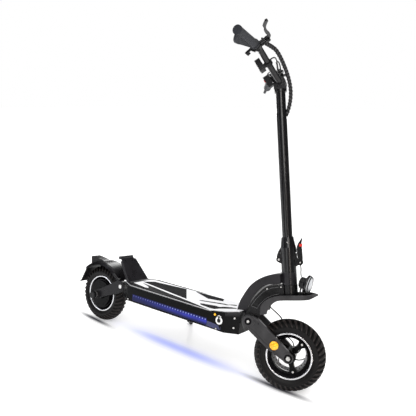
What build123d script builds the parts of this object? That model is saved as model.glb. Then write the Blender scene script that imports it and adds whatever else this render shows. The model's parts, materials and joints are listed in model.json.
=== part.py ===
from build123d import *
import os
from math import sin, cos, tan, radians, degrees, sqrt, pi, atan2, hypot

# ------------------------------------------------------------------ driving dimensions
# mm and degrees. Built upright and straight in a working frame (+X forward, +Y left,
# +Z up, x = 0 half way between the axles), then steered, leaned on the stand and centred.
WHEELBASE = 956.0
AXR, AXF = -WHEELBASE / 2, WHEELBASE / 2      # axles
TYRE_R = 127.5            # 10 inch tyre, outside
AXLE_Z = TYRE_R           # axle height, upright
TYRE_W = 66.0             # tyre width
CROWN_R = 34.0            # cross-section radius of the tread crown
RIM_R = 82.5              # polished rim flange
RAKE = 10.66              # steering axis, back from vertical
STEER_X = AXF + 13.0      # where the steering axis crosses axle height
STEER_REST = 20.0         # bars turned left at rest
LEAN_REST = 10.3          # leaned left on the stand
DECK_HALF = 100.0         # deck half width
DECK_Z0, DECK_Z1 = 163.5, 230.5
FRONT_PIVOT = (AXF - 156.0, 228.0)    # front swing arm pivot x, z
REAR_PIVOT = (AXR + 156.0, 200.0)     # rear swing arm pivot x, z
DECK_BACK, DECK_FRONT = REAR_PIVOT[0] + 16.0, FRONT_PIVOT[0] - 23.0
DECK_WIDE_BACK, DECK_WIDE_FRONT = DECK_BACK + 60.0, DECK_FRONT - 48.0     # full width between these
TAIL_HALF, NOSE_HALF = 64.0, 70.0     # half widths at the very ends
JOINT_X = DECK_FRONT - 113.0          # the deck meets the front casting here, at z = 240
LED_Z0, LED_Z1 = 170.0, 197.0         # light strip along each side
CROWN_T0, HEAD_T0, HEAD_T1 = 208.0, 253.0, 296.3   # along the steering axis from axle height
FOLD_T = 367.0            # fold line
FOLD_PIN = (-33.0, 343.0)        # fold pin, behind the column
BAR_T = 979.0             # handlebar centre
STAND_PIVOT = (-62.0, DECK_HALF - 16.0, 149.0)
STAND_FOOT = (-106.0, 200.0)     # where the stand meets the floor
FOOT_R = 9.0

# ------------------------------------------------------------------ clearances (radial)
RUN = 0.05                # shafts and pins that turn
SLIP = 0.05               # tubes pushed into sockets
GAP = 0.3                 # faces that move past each other
SIDE = 1.0                # side gaps between moving plates

_c, _s = cos(radians(RAKE)), sin(radians(RAKE))
STEER = Plane(origin=(STEER_X, 0, AXLE_Z), x_dir=(_c, 0, _s), z_dir=(-_s, 0, _c))


# ------------------------------------------------------------------ helpers
def box(x0, x1, y0, y1, z0, z1):
    return Pos((x0 + x1) / 2, (y0 + y1) / 2, (z0 + z1) / 2) * Box(x1 - x0, y1 - y0, z1 - z0)


def rod(p, q, r):
    d = Vector(*q) - Vector(*p)
    pl = Plane(origin=p, z_dir=d)
    return pl.location * Cylinder(r, d.length, align=(Align.CENTER, Align.CENTER, Align.MIN))


def yrod(x, z, r, y0, y1):
    return rod((x, y0, z), (x, y1, z), r)


def axial(t0, t1, r):
    """Cylinder on the column axis, from t0 up to t1."""
    return rod((0, 0, t0), (0, 0, t1), r)


def plate(pts, y0, y1, smooth=False):
    """Outline in x, z pushed from y0 to y1."""
    pl = Plane(origin=(0, y0, 0), x_dir=(1, 0, 0), z_dir=(0, -1, 0))
    face = make_face(Polyline(*pts, close=True))
    return extrude(pl.location * face, amount=-(y1 - y0))


def slab(pts, z0, z1):
    """Outline in x, y pushed from z0 to z1."""
    return extrude(Pos(0, 0, z0) * make_face(Polyline(*pts, close=True)), amount=z1 - z0)


def arc_pts(cx, cz, r, a0, a1, n=12):
    return [(cx + r * cos(radians(a0 + (a1 - a0) * i / n)), cz + r * sin(radians(a0 + (a1 - a0) * i / n)))
            for i in range(n + 1)]


def from_front(pts):
    """Outline points given from the front axle's x."""
    return [(AXF + x, z) for x, z in pts]


def over_rear_tyre(pts):
    """Outline points given as height over the rear tyre and angle from forward."""
    return [(AXR + (TYRE_R + h) * cos(radians(a)), AXLE_Z + (TYRE_R + h) * sin(radians(a))) for h, a in pts]


def curve_pts(pts, n=8):
    """Catmull-Rom points through pts, ends included."""
    p = [pts[0]] + list(pts) + [pts[-1]]
    out = []
    for i in range(1, len(p) - 2):
        for k in range(n):
            t = k / n
            out.append(tuple(0.5 * (2 * p[i][j] + (p[i + 1][j] - p[i - 1][j]) * t
                       + (2 * p[i - 1][j] - 5 * p[i][j] + 4 * p[i + 1][j] - p[i + 2][j]) * t * t
                       + (3 * p[i][j] - p[i - 1][j] - 3 * p[i + 1][j] + p[i + 2][j]) * t ** 3)
                       for j in range(len(pts[0]))))
    out.append(tuple(pts[-1]))
    return out


def wheel_rev(pts, x):
    """Revolve an (r, y) outline about the axle at x."""
    return Pos(x, 0, AXLE_Z) * revolve(make_face(Polyline(*pts, close=True)), Axis.Y, 360)


def tube_along(pts, r, fillet):
    path = FilletPolyline(*pts, radius=fillet)
    start = Vector(*pts[0])
    face = Plane(origin=start, z_dir=Vector(*pts[1]) - start).location * Circle(r)
    return sweep(face, path=path)


def group(*s):
    out = []
    for x in s:
        out += list(x.solids()) if hasattr(x, "solids") else list(x)
    return Compound(children=out)


def one(s):
    """The single solid of a shape, or a group when there are several."""
    parts = list(s) if isinstance(s, (list, ShapeList)) else [s]
    solids = [k for p in parts for k in p.solids()]
    return solids[0] if len(solids) == 1 else Compound(children=solids)


def cut(a, *tools):
    """Subtract every solid of every tool from every solid of a."""
    parts = list(a) if isinstance(a, (list, ShapeList)) else [a]
    solids = [k for p in parts for k in p.solids()]
    flat = []
    for t in tools:
        for p in (list(t) if isinstance(t, (list, ShapeList)) else [t]):
            flat += list(p.solids())
    out = []
    for k in solids:
        r = k
        for t in flat:
            r = r - t
            if isinstance(r, (list, ShapeList)):
                r = Compound(children=[q for z in r for q in z.solids()])
        out += list(r.solids())
    return out[0] if len(out) == 1 else Compound(children=out)


def steered(shape):
    """From steering-column coordinates (forward, left, up the axis) to the working frame."""
    moved = [k.moved(STEER.location) for k in shape.solids()]
    return moved[0] if len(moved) == 1 else Compound(children=moved)


def col(x, y, z):
    v = STEER.from_local_coords(Vector(x, y, z))
    return (v.X, v.Y, v.Z)


def hexhead(p, q, r):
    """Hexagon head between two points."""
    d = Vector(*q) - Vector(*p)
    return Plane(origin=p, z_dir=d).location * extrude(RegularPolygon(r, 6), amount=d.length)


def edges_along(shape, d):
    """The edges that run along direction d."""
    return shape.edges().filter_by(lambda e: abs(abs((e @ 1 - e @ 0).normalized().dot(d)) - 1) < 0.01)


NODES = {}
BODY = {}


def add(body, name, shape, col_frame=False):
    NODES[name] = steered(shape) if col_frame else shape
    BODY[name] = body


# ------------------------------------------------------------------ wheels
def tyre(x):
    half = TYRE_W / 2
    c = TYRE_R - CROWN_R
    crown = [(c + CROWN_R * cos(radians(a)), CROWN_R * sin(radians(a))) for a in range(-76, 77, 8)]
    side = [(88.5, 28.6), (84.4, 26.6), (83.2, 25.2), (83.2, 21.2), (76.2, 21.2), (76.2, 15.0),
            (82.0, 17.0), (89.0, 23.4)]
    inner = [(c + 28 * cos(radians(a)), 28 * sin(radians(a))) for a in range(76, -77, -8)]
    mirror = [(r, -y) for r, y in reversed(side)]
    return wheel_rev(crown + side + inner + mirror, x)


def rim(x):
    flange = [(RIM_R, 21.5), (RIM_R, 25.0), (81.5, 26.0), (77.5, 26.0), (74.0, 22.5), (66.6, 14.0)]
    well = [(71.0, 10.5), (76.0, 13.5), (76.0, 21.5)]
    pts = flange + [(r, -y) for r, y in reversed(flange)]
    pts += [(r, -y) for r, y in reversed(well)] + well
    return wheel_rev(pts, x)


def disc(x, y0, y1, r_out, r_in, r_hub, bore, arms, holes):
    """Brake rotor with curved arms, thickness y0..y1."""
    d = yrod(x, AXLE_Z, r_out, y0, y1) - yrod(x, AXLE_Z, r_in, y0 - 1, y1 + 1)
    hub = yrod(x, AXLE_Z, r_hub, y0, y1)
    for k in range(arms):
        a = 360 / arms * k
        p = [(x + (r_hub - 4 + (r_in - r_hub + 8) * t) * cos(radians(a + 38 * t)),
              AXLE_Z + (r_hub - 4 + (r_in - r_hub + 8) * t) * sin(radians(a + 38 * t))) for t in
             (0, 0.2, 0.4, 0.6, 0.8, 1.0)]
        w = 3.2
        left, right = [], []
        for i, q in enumerate(p):
            a0, a1 = p[max(i - 1, 0)], p[min(i + 1, 5)]
            dx, dz = a1[0] - a0[0], a1[1] - a0[1]
            n = hypot(dx, dz)
            left.append((q[0] - dz / n * w, q[1] + dx / n * w))
            right.append((q[0] + dz / n * w, q[1] - dx / n * w))
        hub += plate(left + right[::-1], y0, y1)
    d = d + hub - yrod(x, AXLE_Z, bore, y0 - 1, y1 + 1)
    rm = (r_out + r_in) / 2
    cuts = [yrod(x + (rm + (2.6 if k % 2 else -2.6)) * cos(2 * pi * k / holes),
                 AXLE_Z + (rm + (2.6 if k % 2 else -2.6)) * sin(2 * pi * k / holes), 2.0, y0 - 1, y1 + 1)
            for k in range(holes)]
    return one(d - cuts)


HUB_BORE = 10.0
add("front_wheel", "front_tyre", tyre(AXF))
add("front_wheel", "front_rim", rim(AXF))
hub = yrod(AXF, AXLE_Z, 66.5, -10.4, 10.4) - yrod(AXF, AXLE_Z, 57.5, -13, 13)
hub += yrod(AXF, AXLE_Z, 25, -34, 30)
for a in (50, 170, 290):
    ca, sa = cos(radians(a)), sin(radians(a))
    pts = [(18, -15), (40, -12), (58.4, -19), (60, 0), (58.4, 19), (40, 12), (18, 15)]
    hub += plate([(AXF + u * ca - v * sa, AXLE_Z + u * sa + v * ca) for u, v in pts], -10, 10)
for a in (50, 170, 290):
    ca, sa = cos(radians(a)), sin(radians(a))
    hub -= yrod(AXF + 62 * ca, AXLE_Z + 62 * sa, 2.6, -14, 14)
hub -= yrod(AXF, AXLE_Z, HUB_BORE + RUN, -40, 40)
add("front_wheel", "front_hub", one(hub))
add("front_wheel", "front_disc", disc(AXF, 30.2, 33.0, 68, 55, 24, HUB_BORE + 0.6, 6, 36))

shell = yrod(AXR, AXLE_Z, 66.5, -26, 26) + yrod(AXR, AXLE_Z, 60, -33, 33) + yrod(AXR, AXLE_Z, 26, -39, 39)
shell -= yrod(AXR, AXLE_Z, 57.5, -28, 28)
shell -= yrod(AXR, AXLE_Z, HUB_BORE + RUN, -50, 50)
for k in range(9):
    a = radians(40 * k + 20)
    for s in (-1, 1):
        shell -= yrod(AXR + 52 * cos(a), AXLE_Z + 52 * sin(a), 2.6, s * 31.5, s * 34)
add("rear_wheel", "motor_shell", one(shell))
add("rear_wheel", "rear_rim", rim(AXR))
add("rear_wheel", "rear_tyre", tyre(AXR))
add("rear_wheel", "rear_disc", disc(AXR, 39.2, 42.0, 66, 52, 24, HUB_BORE + 0.6, 6, 36))


# ------------------------------------------------------------------ axles, swing arms
def axle(x, y, stator):
    a = yrod(x, AXLE_Z, HUB_BORE, -y, y)
    for s in (-1, 1):
        a += hexhead((x, s * (y - 7), AXLE_Z), (x, s * y, AXLE_Z), 14.0)
    if stator:
        a += yrod(x, AXLE_Z, 54, -24, 24)
    return a


def arm_side(p, q, up0, up1, low0, low1, y0, y1, r0, r1):
    """Swing arm plate from pivot p to axle q; up and low are offsets of its two edges."""
    dx, dz = q[0] - p[0], q[1] - p[1]
    n = hypot(dx, dz)
    ux, uz = dx / n, dz / n
    nx, nz = (-uz, ux) if ux > 0 else (uz, -ux)

    def at(t, o):
        return (p[0] + ux * n * t + nx * o, p[1] + uz * n * t + nz * o)

    pts = [at(0.0, up0 * 0.8), at(0.14, up0), at(0.62, up1), at(0.97, r1), at(0.97, -r1), at(0.62, low1),
           at(0.18, low0), at(0.0, -r0)]
    body = plate(pts, y0, y1) + yrod(p[0], p[1], r0, y0, y1) + yrod(q[0], q[1], r1, y0, y1)
    return body


ARM_IN_F, ARM_T_F = 39.0, 13.0        # inner face and thickness of each front plate
ARM_OUT_F = ARM_IN_F + ARM_T_F
FP, FQ = FRONT_PIVOT, (AXF, AXLE_Z)
arm = None
for s in (-1, 1):
    y0, y1 = sorted((s * ARM_IN_F, s * ARM_OUT_F))
    a = arm_side(FP, FQ, 31, 25, -24, -26, y0, y1, 21, 18)
    yo = sorted((s * ARM_OUT_F, s * (ARM_OUT_F + 3)))
    a += yrod(FP[0], FP[1], 19, *yo) - yrod(FP[0], FP[1], 12, yo[0] - 1, yo[1] + 1)
    rim_pl = arm_side(FP, FQ, 31, 25, -24, -26, *sorted((s * (ARM_OUT_F - 3), s * (ARM_OUT_F + 1))), 21, 18)
    inner = arm_side(FP, FQ, 23, 17, -16, -18, *sorted((s * (ARM_OUT_F - 3), s * (ARM_OUT_F + 1))), 20, 17)
    panel = inner - yrod(FP[0], FP[1], 22, -60, 60) - yrod(AXF, AXLE_Z, 18, -60, 60)
    a -= panel
    arm = a if arm is None else arm + a
arm += yrod(FP[0] + 32, FP[1] - 16, 7.5, -ARM_IN_F, ARM_IN_F)
arm -= yrod(FP[0], FP[1], 8 + RUN, -70, 70)
arm -= yrod(AXF, AXLE_Z, HUB_BORE + RUN, -70, 70)
add("front_arm", "front_arm", one(arm))
add("front_arm", "front_axle", axle(AXF, ARM_OUT_F + 7.2, False))
refl = []
RF = (AXF - 54, AXLE_Z + 34.5)
for s in (-1, 1):
    y0 = s * (ARM_OUT_F - 3)
    refl.append(yrod(RF[0], RF[1], 14, *sorted((y0, s * (ARM_OUT_F + 5)))))
add("front_arm", "arm_reflectors", group(*refl))
NODES["front_arm"] = cut(NODES["front_arm"], *refl)


def caliper(x, ang, y, r):
    """Floating disc caliper around a rotor at mid plane y, at angle ang from forward."""
    c = box(-17, 17, y - 14, y + 12, -13, 13) + box(-12, 12, y - 18, y + 14, -9, 9)
    c -= box(-30, 30, y - 2.4, y + 2.4, -30, 6)
    c += Pos(0, y - 16, 0) * Rot(90, 0, 0) * Cylinder(8, 6)
    return Pos(x + r * cos(radians(ang)), 0, AXLE_Z + r * sin(radians(ang))) * Rot(0, 90 - ang, 0) * c


cal = caliper(AXF, 118, 31.6, 66)
cal = cut(cal - box(AXF - 200, AXF + 200, -60, 27.4, 0, 400), NODES["front_arm"])
add("front_arm", "front_caliper", cal)

ARM_IN_R, ARM_T_R = 50.0, 11.0        # the same at the rear
ARM_OUT_R = ARM_IN_R + ARM_T_R
RP, RQ = REAR_PIVOT, (AXR, AXLE_Z)
rarm = None
for s in (-1, 1):
    y0, y1 = sorted((s * ARM_IN_R, s * ARM_OUT_R))
    a = arm_side(RP, RQ, 30, 20, -27, -20, y0, y1, 22, 19)
    yo = sorted((s * ARM_OUT_R, s * (ARM_OUT_R + 3)))
    a += yrod(RP[0], RP[1], 19, *yo) - yrod(RP[0], RP[1], 12, yo[0] - 1, yo[1] + 1)
    rarm = a if rarm is None else rarm + a
rarm += yrod(RP[0] - 23, RP[1] + 6, 6.5, -ARM_IN_R, ARM_IN_R)
rarm -= yrod(RP[0], RP[1], 8 + RUN, -80, 80)
rarm -= yrod(AXR, AXLE_Z, HUB_BORE + RUN, -80, 80)
add("rear_arm", "rear_arm", one(rarm))
add("rear_arm", "rear_axle", axle(AXR, ARM_OUT_R + 7.2, True))
caps = [yrod(AXR, AXLE_Z, 16.5, *sorted((s * (ARM_OUT_R + 7.4), s * (ARM_OUT_R + 24)))) for s in (-1, 1)]
caps = [fillet(c.edges().filter_by(GeomType.CIRCLE), 4) for c in caps]
add("rear_arm", "rear_axle_caps", group(*caps))
cal = caliper(AXR, 38, 40.6, 62)
cal = cut(cal - box(AXR - 200, AXR + 200, -60, 35.2, 0, 400), NODES["rear_arm"])
add("rear_arm", "rear_caliper", cal)

# rear mudguard on the swing arm
FR_IN, FR_T = TYRE_R + 18.5, 4.0
GUARD_HALF = 47.0


def guard(sweep_angle, half, r_in, thick, skirt):
    """Arched shell with turned-in skirts, swept down from forward about the axle."""
    sec = [(r_in, -half + 6), (r_in - skirt, -half + 1), (r_in - skirt, -half - 2), (r_in + 1, -half + 3),
           (r_in + thick, -half + 12)]
    pts = sec + [(r, -y) for r, y in reversed(sec)]
    return revolve(make_face(Polyline(*pts, close=True)), Axis.Y, sweep_angle)


G0, G1 = 36, 134          # start and end of the guard, degrees from forward
fend = Pos(AXR, 0, AXLE_Z) * Rot(0, -G1, 0) * guard(G1 - G0, GUARD_HALF, FR_IN, FR_T, 10)
for s in (-1, 1):
    stay_end = (AXR + (FR_IN - 4) * cos(radians(G0 + 16)), s * GUARD_HALF,
                AXLE_Z + (FR_IN - 4) * sin(radians(G0 + 16)))
    fend += rod(stay_end, (RP[0] - 30, s * (ARM_IN_R + 3), RP[1] + 23), 4.5)
    fend += box(RP[0] - 42, RP[0] - 18, *sorted((s * (ARM_IN_R - 0.1), s * (ARM_IN_R + 8))),
                RP[1] + 19, RP[1] + 28)
wedge = plate(over_rear_tyre([(19.2, 86.9), (27.6, 98.2), (38.8, 108.2), (54.1, 117.9), (56.8, 120.7),
                              (22.3, 126.4), (7.8, 125.2), (13.4, 107.3)]), -21, 21)
wedge -= yrod(AXR, AXLE_Z, FR_IN + FR_T - 0.5, -40, 40)
fend += wedge
add("rear_arm", "rear_mudguard", cut(fend, NODES["rear_arm"]))
lens = plate(over_rear_tyre([(56.5, 120.8), (58.1, 121.9), (25.4, 127.7), (22.9, 126.4)]), -19, 19)
add("rear_arm", "tail_light_lens", one(lens))
flap = plate(over_rear_tyre([(18.4, 127.0), (18.5, 130.8), (18.5, 134.6), (12.1, 166.1), (7.7, 166.5),
                             (13.6, 134.9), (15.4, 127.0)]), -38, 38)
flap = cut(flap, NODES["rear_mudguard"])
(rail_x, rail_z), = over_rear_tyre([(10.1, 165.9)])
flap += yrod(rail_x, rail_z, 3.2, -42, 42)
add("rear_arm", "mud_flap", one(flap))

# ------------------------------------------------------------------ deck
def deck_outline(side, ends, lead=0.0):
    """Deck plan: side and ends are how far inside the full outline; lead moves the wide start."""
    half = [(DECK_BACK + ends, TAIL_HALF - side * 0.5), (DECK_WIDE_BACK + lead, DECK_HALF - side),
            (DECK_WIDE_FRONT - ends, DECK_HALF - side)]
    return [(x, -y) for x, y in half] + half[::-1]


DECK_TRAY, LID_TOP, MAT_TOP, PAD_TOP = 219.5, 226.4, 229.0, DECK_Z1
WALL = 5.0
tray = slab(deck_outline(0, 0), DECK_Z0, DECK_TRAY) - slab(deck_outline(WALL, WALL, 1.5), DECK_Z0 + WALL,
                                                           DECK_TRAY + 1)


# the joint with the front casting slants forward and down
def joint_x(z):
    return JOINT_X + (240 - z) * 0.725


joint_cut = plate([(joint_x(240), 240), (joint_x(160), 160), (260 + JOINT_X - 186, 160),
                   (260 + JOINT_X - 186, 240)], -DECK_HALF - 20, DECK_HALF + 20)
front_wall = box(JOINT_X - 6, JOINT_X, -DECK_HALF + 3, DECK_HALF - 3, DECK_Z0, DECK_TRAY)
tray = tray - joint_cut + front_wall
LED_BACK, LED_FRONT = DECK_WIDE_BACK + 32.5, JOINT_X - 13.5
for s in (-1, 1):
    tray -= box(LED_BACK - 0.5, LED_FRONT + 0.5, *sorted((s * (DECK_HALF - 2.5), s * (DECK_HALF + 3))),
                LED_Z0 - 0.5, LED_Z1 + 0.5)
# rear pivot tongue
TONGUE_HALF = ARM_IN_R - 6
tongue = plate([(RP[0] + 20, 182), (RP[0] - 7, 186), (RP[0] - 15, 200), (RP[0] - 7, 214), (RP[0] + 20, 218)],
               -TONGUE_HALF, TONGUE_HALF)
tongue += yrod(RP[0], RP[1], 16, -TONGUE_HALF, TONGUE_HALF)
tray += tongue
tray -= yrod(RP[0], RP[1], 8 + RUN, -60, 60)
for s in (-1, 1):
    tray -= yrod(RP[0], RP[1], 23.5, *sorted((s * (ARM_IN_R - 1.2), s * (ARM_OUT_R + 30))))
add("deck", "deck_frame", one(tray))
lid_half = [(DECK_BACK, TAIL_HALF), (DECK_WIDE_BACK, DECK_HALF - 2), (JOINT_X - 6, DECK_HALF + 3),
            (JOINT_X + 14, DECK_HALF + 3)]
lid = slab([(x, -y) for x, y in lid_half] + lid_half[::-1], DECK_TRAY, LID_TOP)
lid -= joint_cut
add("deck", "deck_lid", one(lid))
mat_half = [(DECK_BACK + 6, TAIL_HALF - 6), (DECK_WIDE_BACK + 6, DECK_HALF - 9),
            (JOINT_X - 36, DECK_HALF - 4), (JOINT_X - 4, DECK_HALF - 6)]
mat = slab([(x, -y) for x, y in mat_half] + mat_half[::-1], LID_TOP, MAT_TOP)
PANELS = [[(-250, 2), (-221, 45), (-62, 72), (32, -50)],
          [(-14, 77), (126, 83), (140, 56), (80, 33)],
          [(78, -24), (84, -14), (170, 27), (170, 17)],
          [(112, -64), (104, -54), (168, -28), (174, -42)]]
pads = [slab(pts, MAT_TOP, PAD_TOP) for pts in PANELS]
add("deck", "grip_pads", group(*pads))
LED_OUT = DECK_HALF + 0.6
leds = [box(LED_BACK, LED_FRONT, *sorted((s * (DECK_HALF - 2.4), s * LED_OUT)), LED_Z0, LED_Z1)
        for s in (-1, 1)]
add("deck", "led_strips", group(*leds))
add("deck", "power_pack", group(box(LED_BACK + 3, LED_BACK + 303, -72, 72, DECK_Z0 + 5.5, 213),
                                box(LED_BACK + 317, LED_BACK + 385, -50, 50, DECK_Z0 + 5.5, 204)))

# front casting: block under the neck, and the curved neck up to the head tube
half = [(JOINT_X - 6, DECK_HALF + 3), (JOINT_X + 4, DECK_HALF + 3), (DECK_WIDE_FRONT, DECK_HALF),
        (DECK_FRONT, NOSE_HALF)]
block = slab([(x, -y) for x, y in half] + half[::-1], DECK_Z0, 250)
NOSE_Z, NOSE_RISE = 230.8, 16.7        # top of the block at the joint, and its rise to the front
block &= plate([(joint_x(DECK_Z0), DECK_Z0), (DECK_FRONT + 1, DECK_Z0), (DECK_FRONT + 1, NOSE_Z + NOSE_RISE),
                (joint_x(NOSE_Z), NOSE_Z)], -DECK_HALF - 20, DECK_HALF + 20)
nose = block & box(DECK_WIDE_FRONT, DECK_FRONT + 1, -DECK_HALF, DECK_HALF, DECK_Z0, 260)
casting = block - nose
NECK_OUT = curve_pts(from_front([(-218, 226), (-215, 246), (-208, 277), (-198, 300), (-178, 337), (-158, 361),
                                 (-138, 378), (-118, 391), (-98, 401), (-78, 408), (-60, 412)]), 4)
NECK_IN = curve_pts(from_front([(-53, 383), (-79, 375.5), (-100, 368.5), (-127, 353), (-149, 325.5),
                                (-164, 295), (-171, 268), (-177, 244), (-180, 226)]), 4)
neck = plate(NECK_OUT + NECK_IN, -37, 37)
head = steered(axial(HEAD_T0, HEAD_T1, 27))
below = steered(axial(100, HEAD_T0, 60))
above = steered(axial(HEAD_T1, HEAD_T1 + 60, 80))
SWEEP_R = 183.0                        # the front swing arm turns inside this
arched = nose + neck - below - above + head
arched -= steered(axial(60, 152, SWEEP_R))
arched -= steered(axial(150, 330, 18 + RUN))
PORT = (DECK_WIDE_FRONT - 23.0, 203.0)
PORT_FACE = -DECK_HALF - 1.8
casting -= yrod(PORT[0], PORT[1], 9.6, PORT_FACE - 18, PORT_FACE + 17.8)
add("deck", "front_casting", one(casting))
add("deck", "front_neck", one(arched))

# the mat runs on over the sloping top of the casting, up to the neck
nose_half = [(JOINT_X + 9, DECK_HALF - 6), (DECK_WIDE_FRONT - 4, DECK_HALF - 9),
             (DECK_FRONT - 8, NOSE_HALF - 4)]
slope = NOSE_RISE / (DECK_FRONT + 1 - joint_x(NOSE_Z))
x0, x1 = JOINT_X + 9, DECK_FRONT - 8
z0, z1 = (NOSE_Z + (x - joint_x(NOSE_Z)) * slope for x in (x0, x1))
nose_mat = slab([(x, -y) for x, y in nose_half] + nose_half[::-1], 225, 255)
nose_mat &= plate([(x0, z0), (x1, z1), (x1, z1 + 1.6), (x0, z0 + 1.6)], -DECK_HALF, DECK_HALF)

# kick plate over the rear of the deck
KB, KT = (DECK_BACK + 21, 231.0), (DECK_BACK - 54, 318.0)
KICK_W0, KICK_W1 = 62.0, 40.0      # half width at the foot and at the top
kdir = Vector(KT[0] - KB[0], 0, KT[1] - KB[1]).normalized()
kn = Vector(kdir.Z, 0, -kdir.X)


def kp(t, o):
    return (KB[0] + kdir.X * t + kn.X * o, KB[1] + kdir.Z * t + kn.Z * o)


KL = hypot(KT[0] - KB[0], KT[1] - KB[1])
kpl = Plane(origin=(KB[0], 0, KB[1]), x_dir=(0, 1, 0), z_dir=tuple(kn))
ks = 1 if kpl.y_dir.dot(kdir) > 0 else -1
kout = [(-KICK_W0, -4), (-KICK_W1 - 2, KL), (KICK_W1 - 9, KL), (KICK_W1 - 7, KL - 9),
        (KICK_W1 + 4, KL - 12), (KICK_W0, -4)]
kick = extrude(kpl.location * make_face(Polyline(*[(u, ks * v) for u, v in kout], close=True)), amount=5)
kick += plate([kp(-4, 0), kp(-4, 5), (KB[0] + 23, 230.6), (KB[0] + 23, LID_TOP), (KB[0] - 7, LID_TOP)],
              -KICK_W0, KICK_W0)
for s in (-1, 1):
    rail = [(KICK_W0 - 7, -4), (KICK_W1 - 5, KL - 13), (KICK_W1 + 3, KL - 13), (KICK_W0, -4)]
    fc = make_face(Polyline(*[(s * u, ks * v) for u, v in rail], close=True))
    kick += extrude(kpl.location * fc, amount=-9)
kick += plate([(KB[0], LID_TOP), (KB[0] - 19, LID_TOP), (KB[0] - 33, 244), (KB[0] - 12, 248)], -20, 20)
kick += yrod(KT[0] - 1, KT[1] + 2, 7.5, -KICK_W1 - 7, KICK_W1 - 9)
kick -= box(KT[0] - 40, KB[0] + 85, -120, 120, 200, LID_TOP)
add("deck", "kick_plate", one(kick))
add("deck", "deck_mat", group(cut(mat, kick), cut(nose_mat, neck)))

# charge port, its cap and the side lamps
HINGE_CAP = (PORT[0], PORT_FACE - 2.6, PORT[1] + 14.0)      # cap hinge, along x
port = yrod(PORT[0], PORT[1], 9.5, PORT_FACE, PORT_FACE + 15.8)
port += box(PORT[0] - 7.4, PORT[0] + 7.4, PORT_FACE, PORT_FACE + 0.7, PORT[1] + 4, PORT[1] + 16)
for s in (-1, 1):
    ear = sorted((PORT[0] + s * 5.6, PORT[0] + s * 7.4))
    port += box(*ear, PORT_FACE - 4.4, PORT_FACE + 0.7, PORT[1] + 11.5, PORT[1] + 16.5)
port += rod((PORT[0] - 6, HINGE_CAP[1], HINGE_CAP[2]), (PORT[0] + 6, HINGE_CAP[1], HINGE_CAP[2]), 0.9)
PORT_R, PORT_DEEP = 6.2, 10.0
port -= yrod(PORT[0], PORT[1], PORT_R, PORT_FACE - 1.2, PORT_FACE + PORT_DEEP)
port = cut(port, NODES["front_casting"])
add("deck", "charge_port", port)
cap = yrod(PORT[0], PORT[1], 7.4, PORT_FACE - 1.7, PORT_FACE - 0.1)
cap += box(PORT[0] - 2.2, PORT[0] + 2.2, PORT_FACE - 3.0, PORT_FACE - 1.0, PORT[1] + 4, HINGE_CAP[2])
cap += rod((PORT[0] - 5.3, HINGE_CAP[1], HINGE_CAP[2]), (PORT[0] + 5.3, HINGE_CAP[1], HINGE_CAP[2]), 1.9)
cap -= rod((PORT[0] - 6, HINGE_CAP[1], HINGE_CAP[2]), (PORT[0] + 6, HINGE_CAP[1], HINGE_CAP[2]), 0.9 + RUN)
add("port_cap", "port_cap", one(cap))
lamps = []
for s in (-1, 1):
    lamps.append(yrod(PORT[0] - 20, 221, 3.6, *sorted((s * (DECK_HALF - 1), s * (DECK_HALF + 3.8)))))
NODES["front_casting"] = cut(NODES["front_casting"], *lamps)
add("deck", "side_lamps", group(*lamps))
screws = []
for s in (-1, 1):
    for z in (186, 222):
        screws.append(rod((DECK_FRONT - 19, s * (NOSE_HALF + 9), z),
                          (DECK_FRONT - 16.6, s * (NOSE_HALF + 12.8), z), 3.4))
    screws.append(yrod(DECK_WIDE_BACK + 8, 170.5, 3.0, *sorted((s * (DECK_HALF - 1), s * (DECK_HALF + 0.9)))))
    screws.append(yrod(PORT[0] - 10, 169.5, 3.0, *sorted((s * (DECK_HALF - 1), s * (DECK_HALF + 2.2)))))
NODES["front_casting"] = cut(NODES["front_casting"], *screws)
NODES["front_neck"] = cut(NODES["front_neck"], *screws)
NODES["deck_frame"] = cut(NODES["deck_frame"], *screws)
add("deck", "deck_screws", group(*screws))
shaft = yrod(RP[0], RP[1], 8, -66, 66)
for s in (-1, 1):
    shaft += hexhead((RP[0], s * 64.5, RP[1]), (RP[0], s * 68.5, RP[1]), 9.5)
add("deck", "rear_pivot_shaft", one(shaft))

# ------------------------------------------------------------------ pose of the whole scooter
def crown_low(cx, cy, cz, nz):
    return cz - (TYRE_R - CROWN_R) * sqrt(1 - nz * nz) - CROWN_R


def rot(v, axis, deg):
    a = radians(deg)
    k = Vector(*axis).normalized()
    v = Vector(*v)
    return v * cos(a) + k.cross(v) * sin(a) + k * (k.dot(v)) * (1 - cos(a))


STEER_P = Vector(STEER_X, 0, AXLE_Z)
STEER_A = Vector(-_s, 0, _c)


def steer_pt(p):
    return rot(Vector(*p) - STEER_P, STEER_A, STEER_REST) + STEER_P


def lean_pt(p, pitch=0.0):
    return rot(rot(p, (1, 0, 0), -LEAN_REST), (0, 1, 0), pitch)


def heights(pitch):
    rc, rn = lean_pt((AXR, 0, AXLE_Z), pitch), lean_pt((0, 1, 0), pitch)
    fc = lean_pt(steer_pt((AXF, 0, AXLE_Z)), pitch)
    fn = lean_pt(steer_pt((AXF, 1, AXLE_Z)), pitch) - fc
    return crown_low(rc.X, rc.Y, rc.Z, rn.Z), crown_low(fc.X, fc.Y, fc.Z, fn.Z)


lo, hi = -3.0, 3.0
for _ in range(60):
    mid = (lo + hi) / 2
    h = heights(mid)
    if h[0] < h[1]:
        lo = mid
    else:
        hi = mid
PITCH = (lo + hi) / 2
DROP = -heights(PITCH)[0]
SHIFT = [0.0, 0.0]      # centres the footprint, set below


def world_pt(p, turned=False):
    v = lean_pt(steer_pt(p) if turned else p, PITCH)
    return (v.X + SHIFT[0], v.Y + SHIFT[1], v.Z + DROP)


def world_dir(d, turned=False):
    o = Vector(*world_pt((0, 0, 0), turned))
    v = Vector(*world_pt(d, turned)) - o
    return (v.X, v.Y, v.Z)


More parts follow.
